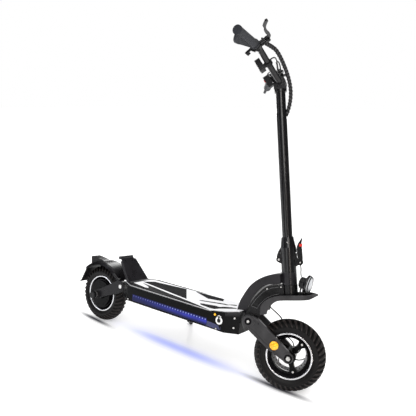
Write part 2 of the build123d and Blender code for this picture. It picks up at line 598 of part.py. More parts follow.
def unlean_pt(p):
    v = Vector(p[0] - SHIFT[0], p[1] - SHIFT[1], p[2] - DROP)
    v = rot(rot(v, (0, 1, 0), -PITCH), (1, 0, 0), LEAN_REST)
    return (v.X, v.Y, v.Z)


def to_world(shape, turned):
    moved = []
    for k in shape.solids():
        if turned:
            k = k.rotate(Axis(tuple(STEER_P), tuple(STEER_A)), STEER_REST)
        k = k.rotate(Axis((0, 0, 0), (1, 0, 0)), -LEAN_REST)
        k = k.rotate(Axis((0, 0, 0), (0, 1, 0)), PITCH)
        moved.append(k.moved(Location((SHIFT[0], SHIFT[1], DROP))))
    return moved[0] if len(moved) == 1 else Compound(children=moved)


# ------------------------------------------------------------------ side stand
SP = STAND_PIVOT
foot_c = unlean_pt((STAND_FOOT[0], STAND_FOOT[1], FOOT_R))
leg_v = (Vector(*foot_c) - Vector(*SP)).normalized()
STOW = Vector(-1, 0, 0)
STAND_AXIS = leg_v.cross(STOW).normalized()
SA = STAND_AXIS
hub_a, hub_b = Vector(*SP) - SA * 7, Vector(*SP) + SA * 7
leg = rod(tuple(hub_a), tuple(hub_b), 12)
leg += rod(tuple(Vector(*SP)), foot_c, 7.5)
leg += Pos(*foot_c) * Sphere(FOOT_R)
toe = Vector(*foot_c) + Vector(-22, 4, 3)
leg += rod(foot_c, tuple(toe), 6.0)
pin_a, pin_b = Vector(*SP) - SA * 14, Vector(*SP) + SA * 14
leg -= rod(tuple(Vector(*SP) - SA * 9), tuple(Vector(*SP) + SA * 9), 5 + RUN)
add("stand", "side_stand", one(leg))
br = rod(tuple(pin_a), tuple(pin_b), 5)
for k in (-1, 1):
    a0, a1 = Vector(*SP) + SA * (k * 7.6), Vector(*SP) + SA * (k * 13.6)
    br += rod(tuple(a0), tuple(a1), 11)
mount = box(SP[0] - 17, SP[0] + 17, SP[1] - 34, SP[1] + 14, DECK_Z0 - 5, DECK_Z0 - 0.0)
web = None
for k in (-1, 1):
    a0, a1 = Vector(*SP) + SA * (k * 7.6), Vector(*SP) + SA * (k * 13.6)
    up = Vector(0, -0.35, 1) * 24
    w = rod(tuple(a0), tuple(a1), 9).moved(Location((0, up.Y * 0.5, up.Z * 0.35)))
    web = w if web is None else web + w
br += mount + web
sweep_clear = rod(tuple(Vector(*SP) - SA * 7.5), tuple(Vector(*SP) + SA * 7.5), 13.2)
br = br - (sweep_clear - rod(tuple(pin_a), tuple(pin_b), 5))
br -= box(SP[0] - 60, SP[0] + 60, SP[1] - 60, SP[1] + 60, DECK_Z0, DECK_Z0 + 40)
add("deck", "stand_bracket", one(br))

# ------------------------------------------------------------------ steering column
# Everything below is drawn in column coordinates (forward, left, up the axis).
FPC = (-147.5, 130.0)
crown = axial(CROWN_T0, 252.6, 28)
steerer = axial(250, 315, 18)
FORK_HALF = 27.0
f_out = curve_pts([(-20, 252), (-31, 252), (-44, 253), (-62, 251), (-92, 240), (-120, 217), (-141, 190),
                   (-153, 165), (-162, 144)], 4)
f_in = curve_pts([(-134, 138), (-127, 152), (-112, 184), (-77, 204), (-20, 208.2)], 6)
fork = plate(f_out + f_in, -FORK_HALF, FORK_HALF)
fork_pocket = plate(curve_pts([(-36, 245), (-62, 242), (-90, 230), (-118, 204), (-136, 181)], 4)
                    + curve_pts([(-117, 172), (-108, 188), (-84, 208), (-60, 219), (-36, 224)], 4), -40, 40)
fork -= fork_pocket - box(-300, 300, 6 - FORK_HALF, FORK_HALF - 6, 0, 400)
fork += yrod(FPC[0], FPC[1], 20, -36, 36)
fork += crown + steerer
fork -= yrod(FPC[0], FPC[1], 8 + RUN, -50, 50)
add("steering", "fork", one(fork), True)

base = axial(296.8, 366.6, 27)
base += box(10, 31, -13.5, 13.5, 318, 364)
ears = plate([(-20, 326), (-37, 334), (-42.6, 340), (-42.6, 347), (-35, 351), (-25, 364), (-20, 364)],
             -14, 14)
ears += yrod(FOLD_PIN[0], FOLD_PIN[1], 8, -14, 14)
ears -= box(-60, -27.15, -8.3, 8.3, 300, 400)
base += ears
fears = plate([(24, 321), (42, 321), (49, 326), (49, 335), (42, 340), (24, 344)], -13.5, 13.5)
fears -= box(31.2, 60, -9, 9, 300, 400)
base += fears
base -= axial(290, 316, 18 + SLIP)
LATCH = (42.0, 331.0)
base -= yrod(FOLD_PIN[0], FOLD_PIN[1], 7.4, -8.3, 8.3)
base -= yrod(FOLD_PIN[0], FOLD_PIN[1], 4, -20, 20) + yrod(LATCH[0], LATCH[1], 3, -20, 20)
add("steering", "fold_base", one(base), True)
pins = [yrod(FOLD_PIN[0], FOLD_PIN[1], 4, -16.5, 16.5) + yrod(FOLD_PIN[0], FOLD_PIN[1], 6, 14.1, 17.5)
        + yrod(FOLD_PIN[0], FOLD_PIN[1], 6, -17.5, -14.1),
        yrod(LATCH[0], LATCH[1], 3, -15, 15) + yrod(LATCH[0], LATCH[1], 4.6, 13.6, 16)
        + yrod(LATCH[0], LATCH[1], 4.6, -16, -13.6),
        yrod(FPC[0], FPC[1], 8, -57, 57) + hexhead((FPC[0], 55.3, FPC[1]), (FPC[0], 58.6, FPC[1]), 8.8)
        + hexhead((FPC[0], -58.6, FPC[1]), (FPC[0], -55.3, FPC[1]), 8.8)]
for s in (-1, 1):
    for x, t in ((-78, 240.5), (-28.5, 246.5)):
        pins.append(yrod(x, t, 3.0, *sorted((s * FORK_HALF, s * (FORK_HALF + 2)))))
add("steering", "steer_pins", group(*pins), True)

# front mudguard: thin plate with a pointed, rising nose and a deep rim all round
def guard_plan(inset, back):
    """Plan outline of the mudguard, inset from its edge."""
    side = [(-back, 45 - inset), (61 - inset * 0.4, 45 - inset), (79 - inset, 30 - inset * 0.7),
            (98 - inset * 1.6, 3 - inset * 0.4)]
    return [(x, -y) for x, y in side] + side[::-1]


g_out = curve_pts([(-104, 152), (-100, 175), (-90, 190), (-68, 201), (-34, 205.4), (10, 206), (62, 206),
                   (80, 210.5), (98, 216)], 5)
g_in = [(x + (3.2 if t < 190 and x < 0 else 1.2), t - (0.8 if t < 190 else 3.2)) for x, t in g_out]
guard_f = plate(g_out + g_in[::-1], -45, 45)
rim_top = curve_pts([(-105, 152), (-103, 175), (-95, 191), (-80, 204), (-60, 213), (-40, 217.5), (-20, 219),
                     (20, 219), (62, 219), (80, 218.6), (99, 217)], 4)
rim_low = curve_pts([(99, 213.5), (80, 208), (62, 203), (30, 201.5), (-20, 201.5), (-43, 199), (-60, 189),
                     (-73, 175), (-82, 153)], 4)
rim = plate(rim_top + rim_low, -46, 46) & slab(guard_plan(0, 140), 100, 260)
rim -= slab(guard_plan(3, 141), 100, 260)
guard_f = (guard_f & slab(guard_plan(0, 140), 100, 260)) + rim
guard_f += axial(204, 208, 20)
guard_f -= plate(f_out + f_in, -27.4, 27.4)
add("steering", "front_mudguard", one(guard_f), True)

# head lamp on a forked bracket
LD = Vector(0.958, 0, -0.287)
LC = Vector(38, 0, 258.6)
TILT = LC + LD * 13
BOLT_X, SWIVEL_ANGLE = 45, -13        # the bracket turns on a bolt through the guard
SWIVEL = Location((BOLT_X, 0, 0)) * Location((0, 0, 0), (0, 0, SWIVEL_ANGLE)) * Location((-BOLT_X, 0, 0))


def along(k):
    v = LC + LD * k
    return (v.X, v.Y, v.Z)


lamp = rod(along(0), along(27), 18)
for k in range(5):
    lamp += rod(along(0.8 + 4.6 * k), along(3.2 + 4.6 * k), 20.5)
lamp += rod(along(24), along(33.5), 29.5)
lamp -= rod(along(29), along(40), 27.2)
lamp -= yrod(TILT.X, TILT.Z, 3 + RUN, -30, 30)
add("head_lamp", "lamp_body", one(lamp.moved(SWIVEL)), True)
lens = rod(along(29.2), along(33.5), 27.1)
dome = Plane(origin=along(34 - 44.5), z_dir=LD).location * Sphere(52)
lens += dome & rod(along(33.4), along(60), 27.1)
add("head_lamp", "lamp_lens", one(lens.moved(SWIVEL)), True)
brk = box(35, 60, -24.6, 24.6, 205, 208.6)
for s in (-1, 1):
    brk += plate([(36, 207), (49, 207), (TILT.X + 5, TILT.Z), (TILT.X + 4, TILT.Z + 6),
                  (TILT.X - 4, TILT.Z + 6), (TILT.X - 6, TILT.Z)], *sorted((s * 21.2, s * 24.6)))
brk -= plate([(40, 214), (46, 214), (TILT.X + 1, TILT.Z - 14), (TILT.X - 2, TILT.Z - 14)], -30, 30)
for s in (-1, 1):
    brk += yrod(TILT.X, TILT.Z, 3, *sorted((s * 12, s * 27)))
    brk += yrod(TILT.X, TILT.Z, 5, *sorted((s * 24.6, s * 27.6)))
add("steering", "lamp_bracket", cut(brk.moved(SWIVEL), guard_f), True)

# ------------------------------------------------------------------ folding stem
foot = axial(FOLD_T, FOLD_T + 17, 27)
foot += Pos(0, 0, FOLD_T + 17 + 19) * Cone(27, 22, 38)
foot += plate([(10, FOLD_T), (30.5, FOLD_T), (30.5, FOLD_T + 10), (20, 424), (10, 424)], -8.5, 8.5)
foot += plate([(-18, 367.0), (-27.8, 367.0), (-27.8, 347), (-35, 343), (-42, 345), (-40.5, 357), (-34, 374),
               (-21, 392), (-18, 392)], -8, 8)
foot += yrod(FOLD_PIN[0], FOLD_PIN[1], 7, -8, 8)
foot -= yrod(FOLD_PIN[0], FOLD_PIN[1], 4 + RUN, -20, 20)
foot -= axial(FOLD_T + 18, FOLD_T + 78, 18.5 + SLIP)
foot -= yrod(0, 404, 3, -30, -18)
add("stem", "stem_foot", one(foot), True)

STEM_T0, STEM_STEP, STEM_T1 = FOLD_T + 18.2, 871.0, 962.0
tube = axial(STEM_T0, STEM_STEP, 18.5) + axial(STEM_STEP, STEM_T1, 17.3)
tube -= axial(STEM_T0 - 1, STEM_T1 + 10, 14.5)
for a in (20, 160, 200, 250, 290, 340):
    ca, sa = cos(radians(a)), sin(radians(a))
    tube -= Rot(0, 0, a) * box(17.6, 20, -1.3, 1.3, 428, STEM_STEP - 14)
LOOM_IN = 859.0
tube -= rod((10.0, 0, LOOM_IN - 14), (36, 0, 905), 7.0 + SLIP)
add("stem", "stem_tube", one(tube), True)

BAR_R = 10.2
cl = axial(948, 968, 22)
cl += box(-21, 21, -23, 23, 956, 979) + yrod(0, BAR_T, 22.5, -23, 23)
cl += axial(990, 1017, 15)
cl = fillet(cl.edges().filter_by(GeomType.CIRCLE).sort_by(Axis.Z)[-1:], 7)
cl -= axial(940, 962.2, 17.3 + SLIP)
cl -= yrod(0, BAR_T, 14 + SLIP, -40, 40)
cl -= box(13, 30, -30, 30, 978.0, 980.0)
for s in (-1, 1):
    cl -= rod((17.8, s * 14, 995), (17.8, s * 14, 980), 3.6)
add("stem", "bar_clamp", one(cl), True)
BEND = [(-87.8, 330, 1064.1), (-48.9, 152, 1064.9), (0, 34, BAR_T)]
pts = [(x, -y, t) for x, y, t in BEND] + [BEND[2], BEND[1], BEND[0]]
bar = tube_along(pts, BAR_R, 38) + yrod(0, BAR_T, 14, -25, 25)
add("stem", "handlebar", one(bar), True)
BDIR = (Vector(*BEND[0]) - Vector(*BEND[1])).normalized()      # left half, outward
BEND1 = Vector(*BEND[1])


def on_bar(y, dx=0.0, dt=0.0):
    """Point on the left outer run of the bar at lateral y, with an offset."""
    k = (y - BEND1.Y) / BDIR.Y
    v = BEND1 + BDIR * k
    return Vector(v.X + dx, v.Y, v.Z + dt)


def both(shape):
    """A left-hand piece and its right-hand mirror image."""
    return [shape, mirror(shape, about=Plane.XZ)]


WDIR = Vector(-0.50, 0, -0.87)
WDIR = (WDIR - BDIR * WDIR.dot(BDIR)).normalized()
WN = BDIR.cross(WDIR).normalized()
g0, g1 = on_bar(194), on_bar(332)
GL = (g1 - g0).length
grip = rod(tuple(g0), tuple(g1), 14.6)
grip += rod(tuple(g0), tuple(g0 + BDIR * 5), 17) + rod(tuple(g1 - BDIR * 7), tuple(g1), 15.4)
wing_pl = Plane(origin=tuple(g0 - WN * 4.5), x_dir=BDIR, z_dir=WN)
wing = [(14, 0), (22, 17), (50, 23), (90, 30), (115, 35), (130, 31), (136.5, 19), (137, 0)]
if (wing_pl.y_dir - WDIR).length > 1:
    wing = [(u, -v) for u, v in wing]
w = extrude(wing_pl.location * make_face(Polyline(*curve_pts(wing, 4), close=True)), amount=9)
grip += w
grip -= rod(tuple(g0 - BDIR * 5), tuple(on_bar(330.3)), BAR_R + SLIP)
add("stem", "grips", group(*both(one(grip))), True)

# brake lever brackets and levers
FDIR = Vector(0.92, 0, 0.393)
FDIR = (FDIR - BDIR * FDIR.dot(BDIR)).normalized()
LN = FDIR.cross(BDIR).normalized()
BK = on_bar(172)
LP = BK + FDIR * 41
ARM_END = LP - FDIR * 9.6
br = rod(tuple(BK - BDIR * 6), tuple(BK + BDIR * 6), 16)
br += rod(tuple(BK + FDIR * 8), tuple(ARM_END), 8.0)
for k in (-1, 1):
    ck = Plane(origin=tuple(LP + LN * (k * 6.3)), x_dir=FDIR, z_dir=LN).location
    br += ck * Box(26, 12, 3.8).moved(Location((-13, 0, 0)))
    br += rod(tuple(LP + LN * (k * 4.4)), tuple(LP + LN * (k * 8.2)), 8.5)
BARREL = LP - FDIR * 15
br += rod(tuple(BARREL), tuple(BARREL - BDIR * 14), 5.5)
br += rod(tuple(BARREL + LN * 6), tuple(BARREL + LN * 15), 3)
br -= rod(tuple(BK - BDIR * 20), tuple(BK + BDIR * 20), BAR_R + SLIP)
sweepc = rod(tuple(LP - LN * 4.3), tuple(LP + LN * 4.3), 9.4)
br = br - sweepc
br += rod(tuple(LP - LN * 7), tuple(LP + LN * 7), 3.5)
add("stem", "lever_brackets", group(*both(one(br))), True)
lv_path = curve_pts([(0, 0), (18, 13), (50, 14.9), (81, 21.4), (103.4, 38.2)], 6)
pl = Plane(origin=tuple(LP - LN * 3.9), x_dir=BDIR, z_dir=LN)
flip = 1 if (pl.y_dir - FDIR).length < 1 else -1
left, right = [], []
for i, q in enumerate(lv_path):
    a0, a1 = lv_path[max(i - 1, 0)], lv_path[min(i + 1, len(lv_path) - 1)]
    dx, dv = a1[0] - a0[0], a1[1] - a0[1]
    n = hypot(dx, dv)
    w = 5.2 - 1.0 * i / len(lv_path)
    left.append((q[0] - dv / n * w, flip * (q[1] + dx / n * w)))
    right.append((q[0] + dv / n * w, flip * (q[1] - dx / n * w)))
lever = extrude(pl.location * make_face(Polyline(*(left + right[::-1]), close=True)), amount=7.8)
lever += rod(tuple(LP - LN * 3.9), tuple(LP + LN * 3.9), 8)
tipv = LP + BDIR * 103.4 + FDIR * 38.2
lever += rod(tuple(tipv - LN * 3.9), tuple(tipv + LN * 3.9), 5)
lever -= rod(tuple(LP - LN * 5), tuple(LP + LN * 5), 3.5 + RUN)
lv_l, lv_r = both(one(lever))
add("brake_lever_left", "brake_lever_left", lv_l, True)
add("brake_lever_right", "brake_lever_right", lv_r, True)

# thumb throttle on the right
T0, T1 = on_bar(180.2), on_bar(186.4)
th = rod(tuple(T0), tuple(T1), 17) - rod(tuple(T0 - BDIR * 3), tuple(T1 + BDIR * 3), BAR_R + SLIP)
th += Plane(origin=tuple((T0 + T1) * 0.5 + WDIR * 17), x_dir=BDIR, z_dir=WDIR).location * Box(5.2, 16, 10)
add("stem", "throttle_housing", mirror(one(th), about=Plane.XZ), True)
TV = on_bar(187.2)
TW = on_bar(193.2)
PD = Vector(-0.80, 0, -0.60)
PD = (PD - BDIR * PD.dot(BDIR)).normalized()
tl = rod(tuple(TV), tuple(TW), 16)
tl += Plane(origin=tuple((TV + TW) * 0.5 + PD * 25), x_dir=BDIR, z_dir=PD).location * Box(5.6, 7, 26)
paddle = (TV + TW) * 0.5 + PD * 36 - BDIR * 5
tl += Plane(origin=tuple(paddle), x_dir=BDIR, z_dir=PD).location * Box(20, 7, 12)
tl -= rod(tuple(TV - BDIR * 3), tuple(TW + BDIR * 3), BAR_R + RUN)
add("throttle", "throttle_lever", mirror(one(tl), about=Plane.XZ), True)

# display on the right riser, switch pod on the left riser
RIS0, RIS1 = Vector(*BEND[2]), Vector(*BEND[1])
RDIR = (RIS1 - RIS0).normalized()


def on_riser(y):
    return RIS0 + RDIR * ((y - RIS0.Y) / RDIR.Y)


DB = on_riser(100)
DN = Vector(-0.874, 0, -0.486)
DUP = Vector(-0.486, 0, 0.874)
DC = DB + DN * 26.5 + DUP * 13 + Vector(0, -12, 0)
dpl = Plane(origin=tuple(DC), x_dir=(0, 1, 0), z_dir=DN)
disp = dpl.location * Box(46, 42, 19)
disp = fillet(edges_along(disp, DN), 6)
disp -= Plane(origin=tuple(DC + DN * 9.5 + DUP * 4), x_dir=(0, 1, 0), z_dir=DN).location * Box(38, 26, 2)
disp += rod(tuple(DB + DN * 8), tuple(DB + DN * 24), 8)
disp += rod(tuple(DB - RDIR * 6), tuple(DB + RDIR * 6), 14.5)
disp -= rod(tuple(DB - RDIR * 30), tuple(DB + RDIR * 30), BAR_R + SLIP)
disp = one(disp)
BTN = DC + DN * 9.5 - DUP * 15
disp -= Plane(origin=tuple(BTN), x_dir=(0, 1, 0), z_dir=DN).location * Box(20.3, 6.3, 6)
add("stem", "display", mirror(one(disp), about=Plane.XZ), True)
bt = Plane(origin=tuple(BTN + DN * 0.2), x_dir=(0, 1, 0), z_dir=DN).location * Box(20, 6, 3)
add("display_button", "display_button", mirror(bt, about=Plane.XZ), True)

SB = on_riser(115)
SN, SUP = DN, DUP
SC = SB + SN * 25
pod = Plane(origin=tuple(SC), x_dir=(0, 1, 0), z_dir=SN).location * Box(32, 48, 22)
pod = fillet(edges_along(pod, SN), 7)
pod += rod(tuple(SB - RDIR * 7), tuple(SB + RDIR * 7), 15)
pod -= rod(tuple(SB - RDIR * 40), tuple(SB + RDIR * 40), BAR_R + SLIP)
HB = SC + SN * 11 + SUP * 10
LB = SC + SN * 11 - SUP * 8
pod -= rod(tuple(HB - SN * 3), tuple(HB + SN * 5), 6.3)
pod -= Plane(origin=tuple(LB), x_dir=(0, 1, 0), z_dir=SN).location * Box(16.6, 10.6, 6)
add("stem", "switch_pod", one(pod), True)
add("horn_button", "horn_button", rod(tuple(HB - SN * 0.5), tuple(HB + SN * 2.5), 6.0), True)
rk = rod(tuple(LB - Vector(0, 8, 0)), tuple(LB + Vector(0, 8, 0)), 2.2)
rock = Plane(origin=tuple(LB), x_dir=(0, 1, 0), z_dir=SN).location * Box(16, 9.4, 2.0) + rk
add("light_switch", "light_switch", one(rock), True)

# latch lever over the fold line, with a red safety catch
LATCH_HEEL = 10.0         # round below the pin, so the lever turns clear of the base
lat = plate([(50.5, 331), (50.5, 350), (49.5, 385), (49, 400), (53, 415), (50, 417), (43, 407), (36, 398),
             (31.6, 386), (31.6, 362), (34, 345.6), (33, 340), (32.4, 334)], -8.5, 8.5)
lat += yrod(LATCH[0], LATCH[1], LATCH_HEEL, -8.5, 8.5)
lat -= plate([(45, 346), (60, 346), (60, 378), (45, 378)], -5, 5)
lat -= yrod(LATCH[0], LATCH[1], 3 + RUN, -12, 12)
lat -= plate([(40.7, 386.6), (60, 386.6), (60, 397.4), (40.7, 397.4)], -12, -4.5)
add("latch", "latch_lever", one(lat), True)
ct = plate([(41, 387), (51.5, 387), (51.5, 397), (41, 397)], -11, -4.8)
add("latch_catch", "latch_catch", one(ct), True)

# cable loom from the right lever bracket down into the stem, and two thin cables
LS = BARREL - BDIR * 14.2
loom = tube_along([(LS.X, -LS.Y, LS.Z), (-14, -128, 1077), (9.7, -104, 1061), (38, -8, 982), (36, 0, 905),
                   (16.5, 0, LOOM_IN + 1)], 7.0, 22)
left_hose = tube_along([(LS.X, LS.Y, LS.Z), (-19, 126, 1080), (-20, 62, 1092), (4, 10, 1056),
                        (4, 4, 1017.6)], 2.4, 14)
thin = tube_along([(DB.X + 9.4, -DB.Y + 1, DB.Z + 13.4), (-6, -74, 1058), (-5, -14, 1054),
                   (-4, -4, 1017.6)], 2.4, 14)
add("stem", "cable_loom", group(loom, left_hose, thin), True)

TURNED = {b for b in set(BODY.values()) if b not in
          ("deck", "port_cap", "stand", "rear_arm", "rear_wheel")}

# the footprint is centred on the origin
_bb = [to_world(shape, BODY[n] in TURNED).bounding_box() for n, shape in NODES.items()]
SHIFT[0] = -(min(b.min.X for b in _bb) + max(b.max.X for b in _bb)) / 2
SHIFT[1] = -(min(b.min.Y for b in _bb) + max(b.max.Y for b in _bb)) / 2

if __name__ == "__main__":
    os.makedirs("parts", exist_ok=True)
    for n, shape in NODES.items():
        export_step(to_world(shape, BODY[n] in TURNED), "parts/" + n + ".step")
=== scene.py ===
import json
from math import cos, hypot, pi, radians, sin

import bmesh
import bpy
from mathutils import Matrix, Vector


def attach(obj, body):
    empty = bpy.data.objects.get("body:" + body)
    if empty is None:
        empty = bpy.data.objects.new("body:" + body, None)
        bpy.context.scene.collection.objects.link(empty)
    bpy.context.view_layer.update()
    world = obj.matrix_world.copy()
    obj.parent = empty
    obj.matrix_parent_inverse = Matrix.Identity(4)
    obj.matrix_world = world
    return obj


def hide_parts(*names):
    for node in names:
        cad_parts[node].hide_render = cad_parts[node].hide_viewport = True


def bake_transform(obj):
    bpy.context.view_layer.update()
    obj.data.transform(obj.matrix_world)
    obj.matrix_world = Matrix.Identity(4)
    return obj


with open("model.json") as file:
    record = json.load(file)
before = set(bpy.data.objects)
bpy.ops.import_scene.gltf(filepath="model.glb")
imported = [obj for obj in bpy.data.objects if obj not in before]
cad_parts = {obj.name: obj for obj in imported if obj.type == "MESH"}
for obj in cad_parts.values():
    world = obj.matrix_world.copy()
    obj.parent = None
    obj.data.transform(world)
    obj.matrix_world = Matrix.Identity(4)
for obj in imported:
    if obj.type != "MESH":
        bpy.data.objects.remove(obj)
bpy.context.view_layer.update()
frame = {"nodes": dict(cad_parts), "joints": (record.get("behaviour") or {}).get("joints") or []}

NODES = frame["nodes"]
JOINT = {j["name"]: j for j in frame["joints"]}
MM = 0.001

# ------------------------------------------------------------------ the scooter's own frames
# The part is drawn upright and straight in millimetres (+X forward, +Y left, +Z up, the axles
# 956 apart) and then steered and leaned. DECK, FRONT and COLUMN bring points of that drawing
# into the row frame: DECK for what doesn't steer, FRONT for what does, and COLUMN for what is
# drawn along the steering axis (forward, left, up the axis from axle height).
RAKE = radians(10.66)
STEER_REST = radians(20)
AXLE_Z = 127.5
AXR, AXF = -478.0, 478.0
STEER_X = 491.0


def axes_matrix(x, y, z, origin):
    """Frame with the given axes and origin."""
    m = Matrix((x, y, z)).transposed().to_4x4()
    m.translation = origin
    return m


def frames():
    """DECK, FRONT and COLUMN, found from the rear axle and the steering axis."""
    left = Vector(JOINT["rear_wheel_spin"]["axis"]).normalized()
    up_axis = Vector(JOINT["steering"]["axis"]).normalized()
    side = left.cross(up_axis)
    x = side * cos(RAKE) - up_axis * sin(RAKE)
    z = side * sin(RAKE) + up_axis * cos(RAKE)
    turn = axes_matrix(x, left, z, Vector())
    origin = Vector(JOINT["rear_wheel_spin"]["pos_m"]) - turn @ (Vector((AXR, 0, AXLE_Z)) * MM)
    deck = axes_matrix(x, left, z, origin) @ Matrix.Scale(MM, 4)
    pivot = Vector((STEER_X, 0, AXLE_Z))
    axis = Vector((-sin(RAKE), 0, cos(RAKE)))
    steer = Matrix.Translation(pivot) @ Matrix.Rotation(STEER_REST, 4, axis) @ Matrix.Translation(-pivot)
    front = deck @ steer
    column = front @ axes_matrix(Vector((cos(RAKE), 0, sin(RAKE))), Vector((0, 1, 0)), axis, pivot)
    return deck, front, column


DECK, FRONT, COLUMN = frames()

# ------------------------------------------------------------------ materials
BLACK = (0.0048, 0.0046, 0.0054)
DECK_TONE = (0.0022, 0.0022, 0.0026)
# NECK_TONE is lighter than the other blacks partly as painted light, standing in for lit, glossy faces.
# The neck's second colour is painted on its edges: partly rubbed paint, partly a painted highlight.
NECK_TONE, NECK_EDGE_WEAR_AND_HIGHLIGHT = (0.013, 0.012, 0.0145), (0.06, 0.06, 0.065)


def new_material(name):
    m = bpy.data.materials.new(name)
    m.use_nodes = True
    nt = m.node_tree
    bsdf = nt.nodes["Principled BSDF"]
    return m, nt, bsdf


def set_in(node, **values):
    for k, v in values.items():
        sock = node.inputs[k.replace("_", " ")]
        sock.default_value = (*v, 1.0) if isinstance(v, tuple) and len(v) == 3 and sock.type == "RGBA" else v


def noise_node(nt, coord, scale, detail=3.0, rough=0.5):
    n = nt.nodes.new("ShaderNodeTexNoise")
    set_in(n, Scale=scale, Detail=detail, Roughness=rough)
    nt.links.new(coord, n.inputs["Vector"])
    return n.outputs["Fac"]


def ranged(nt, value, a0, a1, b0, b1):
    n = nt.nodes.new("ShaderNodeMapRange")
    for i, v in enumerate((a0, a1, b0, b1)):
        n.inputs[1 + i].default_value = v
    nt.links.new(value, n.inputs[0])
    return n.outputs[0]


def mixed(nt, fac, a, b):
    n = nt.nodes.new("ShaderNodeMix")
    n.data_type = "RGBA"
    for sock, v in ((n.inputs[6], a), (n.inputs[7], b)):
        if isinstance(v, tuple):
            sock.default_value = (*v, 1.0)
        else:
            nt.links.new(v, sock)
    nt.links.new(fac, n.inputs[0])
    return n.outputs[2]


def math_node(nt, op, a, b=0.0, c=0.0):
    n = nt.nodes.new("ShaderNodeMath")
    n.operation = op
    for i, v in enumerate((a, b, c)):
        if isinstance(v, (int, float)):
            n.inputs[i].default_value = v
        else:
            nt.links.new(v, n.inputs[i])
    return n.outputs[0]


def finish(name, color, rough, metallic=0.0, spec=0.3, coat=0.0, mottle=0.25, grain=900.0, bump=0.06,
           smudge=0.12, edge=0.0008, edge_wear_and_highlight=None, sheen=0.0):
    """A surface with fine grain, uneven gloss and rounded edge highlights.

    mottle is how far the colour wanders, grain the bump's scale per metre, smudge how far the
    roughness wanders, edge the rounding in metres, edge_wear_and_highlight the colour painted on
    the edges, partly as rubbed paint and partly as a painted highlight."""
    m, nt, bsdf = new_material(name)
    coord = nt.nodes.new("ShaderNodeTexCoord").outputs["Object"]
    broad = noise_node(nt, coord, 22.0, 4.0, 0.6)
    fine = noise_node(nt, coord, grain, 2.0, 0.5)
    dark = tuple(c * (1 - mottle) for c in color)
    light = tuple(min(1.0, c * (1 + mottle)) for c in color)
    tone = mixed(nt, ranged(nt, broad, 0.35, 0.65, 0, 1), dark, light)
    set_in(bsdf, Metallic=metallic)
    bsdf.inputs["Specular IOR Level"].default_value = spec
    bsdf.inputs["Coat Weight"].default_value = coat
    bsdf.inputs["Coat Roughness"].default_value = 0.08
    bsdf.inputs["Sheen Weight"].default_value = sheen
    nt.links.new(ranged(nt, broad, 0.3, 0.7, rough - smudge / 2, rough + smudge / 2), bsdf.inputs["Roughness"])
    bevel = nt.nodes.new("ShaderNodeBevel")
    bevel.samples = 4
    bevel.inputs["Radius"].default_value = edge
    if edge_wear_and_highlight:
        geo = nt.nodes.new("ShaderNodeNewGeometry")
        dot = nt.nodes.new("ShaderNodeVectorMath")
        dot.operation = "DOT_PRODUCT"
        nt.links.new(bevel.outputs[0], dot.inputs[0])
        nt.links.new(geo.outputs["Normal"], dot.inputs[1])
        # Painted light: edges found from the bevelled normal get a lighter colour, partly rubbed paint and partly
        # a painted edge highlight.
        rubbed_and_lit_edges = ranged(nt, dot.outputs["Value"], 0.995, 0.93, 0, 0.7)
        patchy = math_node(nt, "MULTIPLY", rubbed_and_lit_edges, ranged(nt, noise_node(nt, coord, 140.0), 0.4, 0.62, 0, 1))
        tone = mixed(nt, patchy, tone, edge_wear_and_highlight)
    nt.links.new(tone, bsdf.inputs["Base Color"])
    b = nt.nodes.new("ShaderNodeBump")
    set_in(b, Strength=bump, Distance=0.0004)
    nt.links.new(fine, b.inputs["Height"])
    nt.links.new(bevel.outputs[0], b.inputs["Normal"])
    nt.links.new(b.outputs[0], bsdf.inputs["Normal"])
    return m


LED_GLOW_Z, LED_ROW_Z, LED_PITCH = 183.0, 191.5, 13.3      # glow and LED row heights, LED spacing


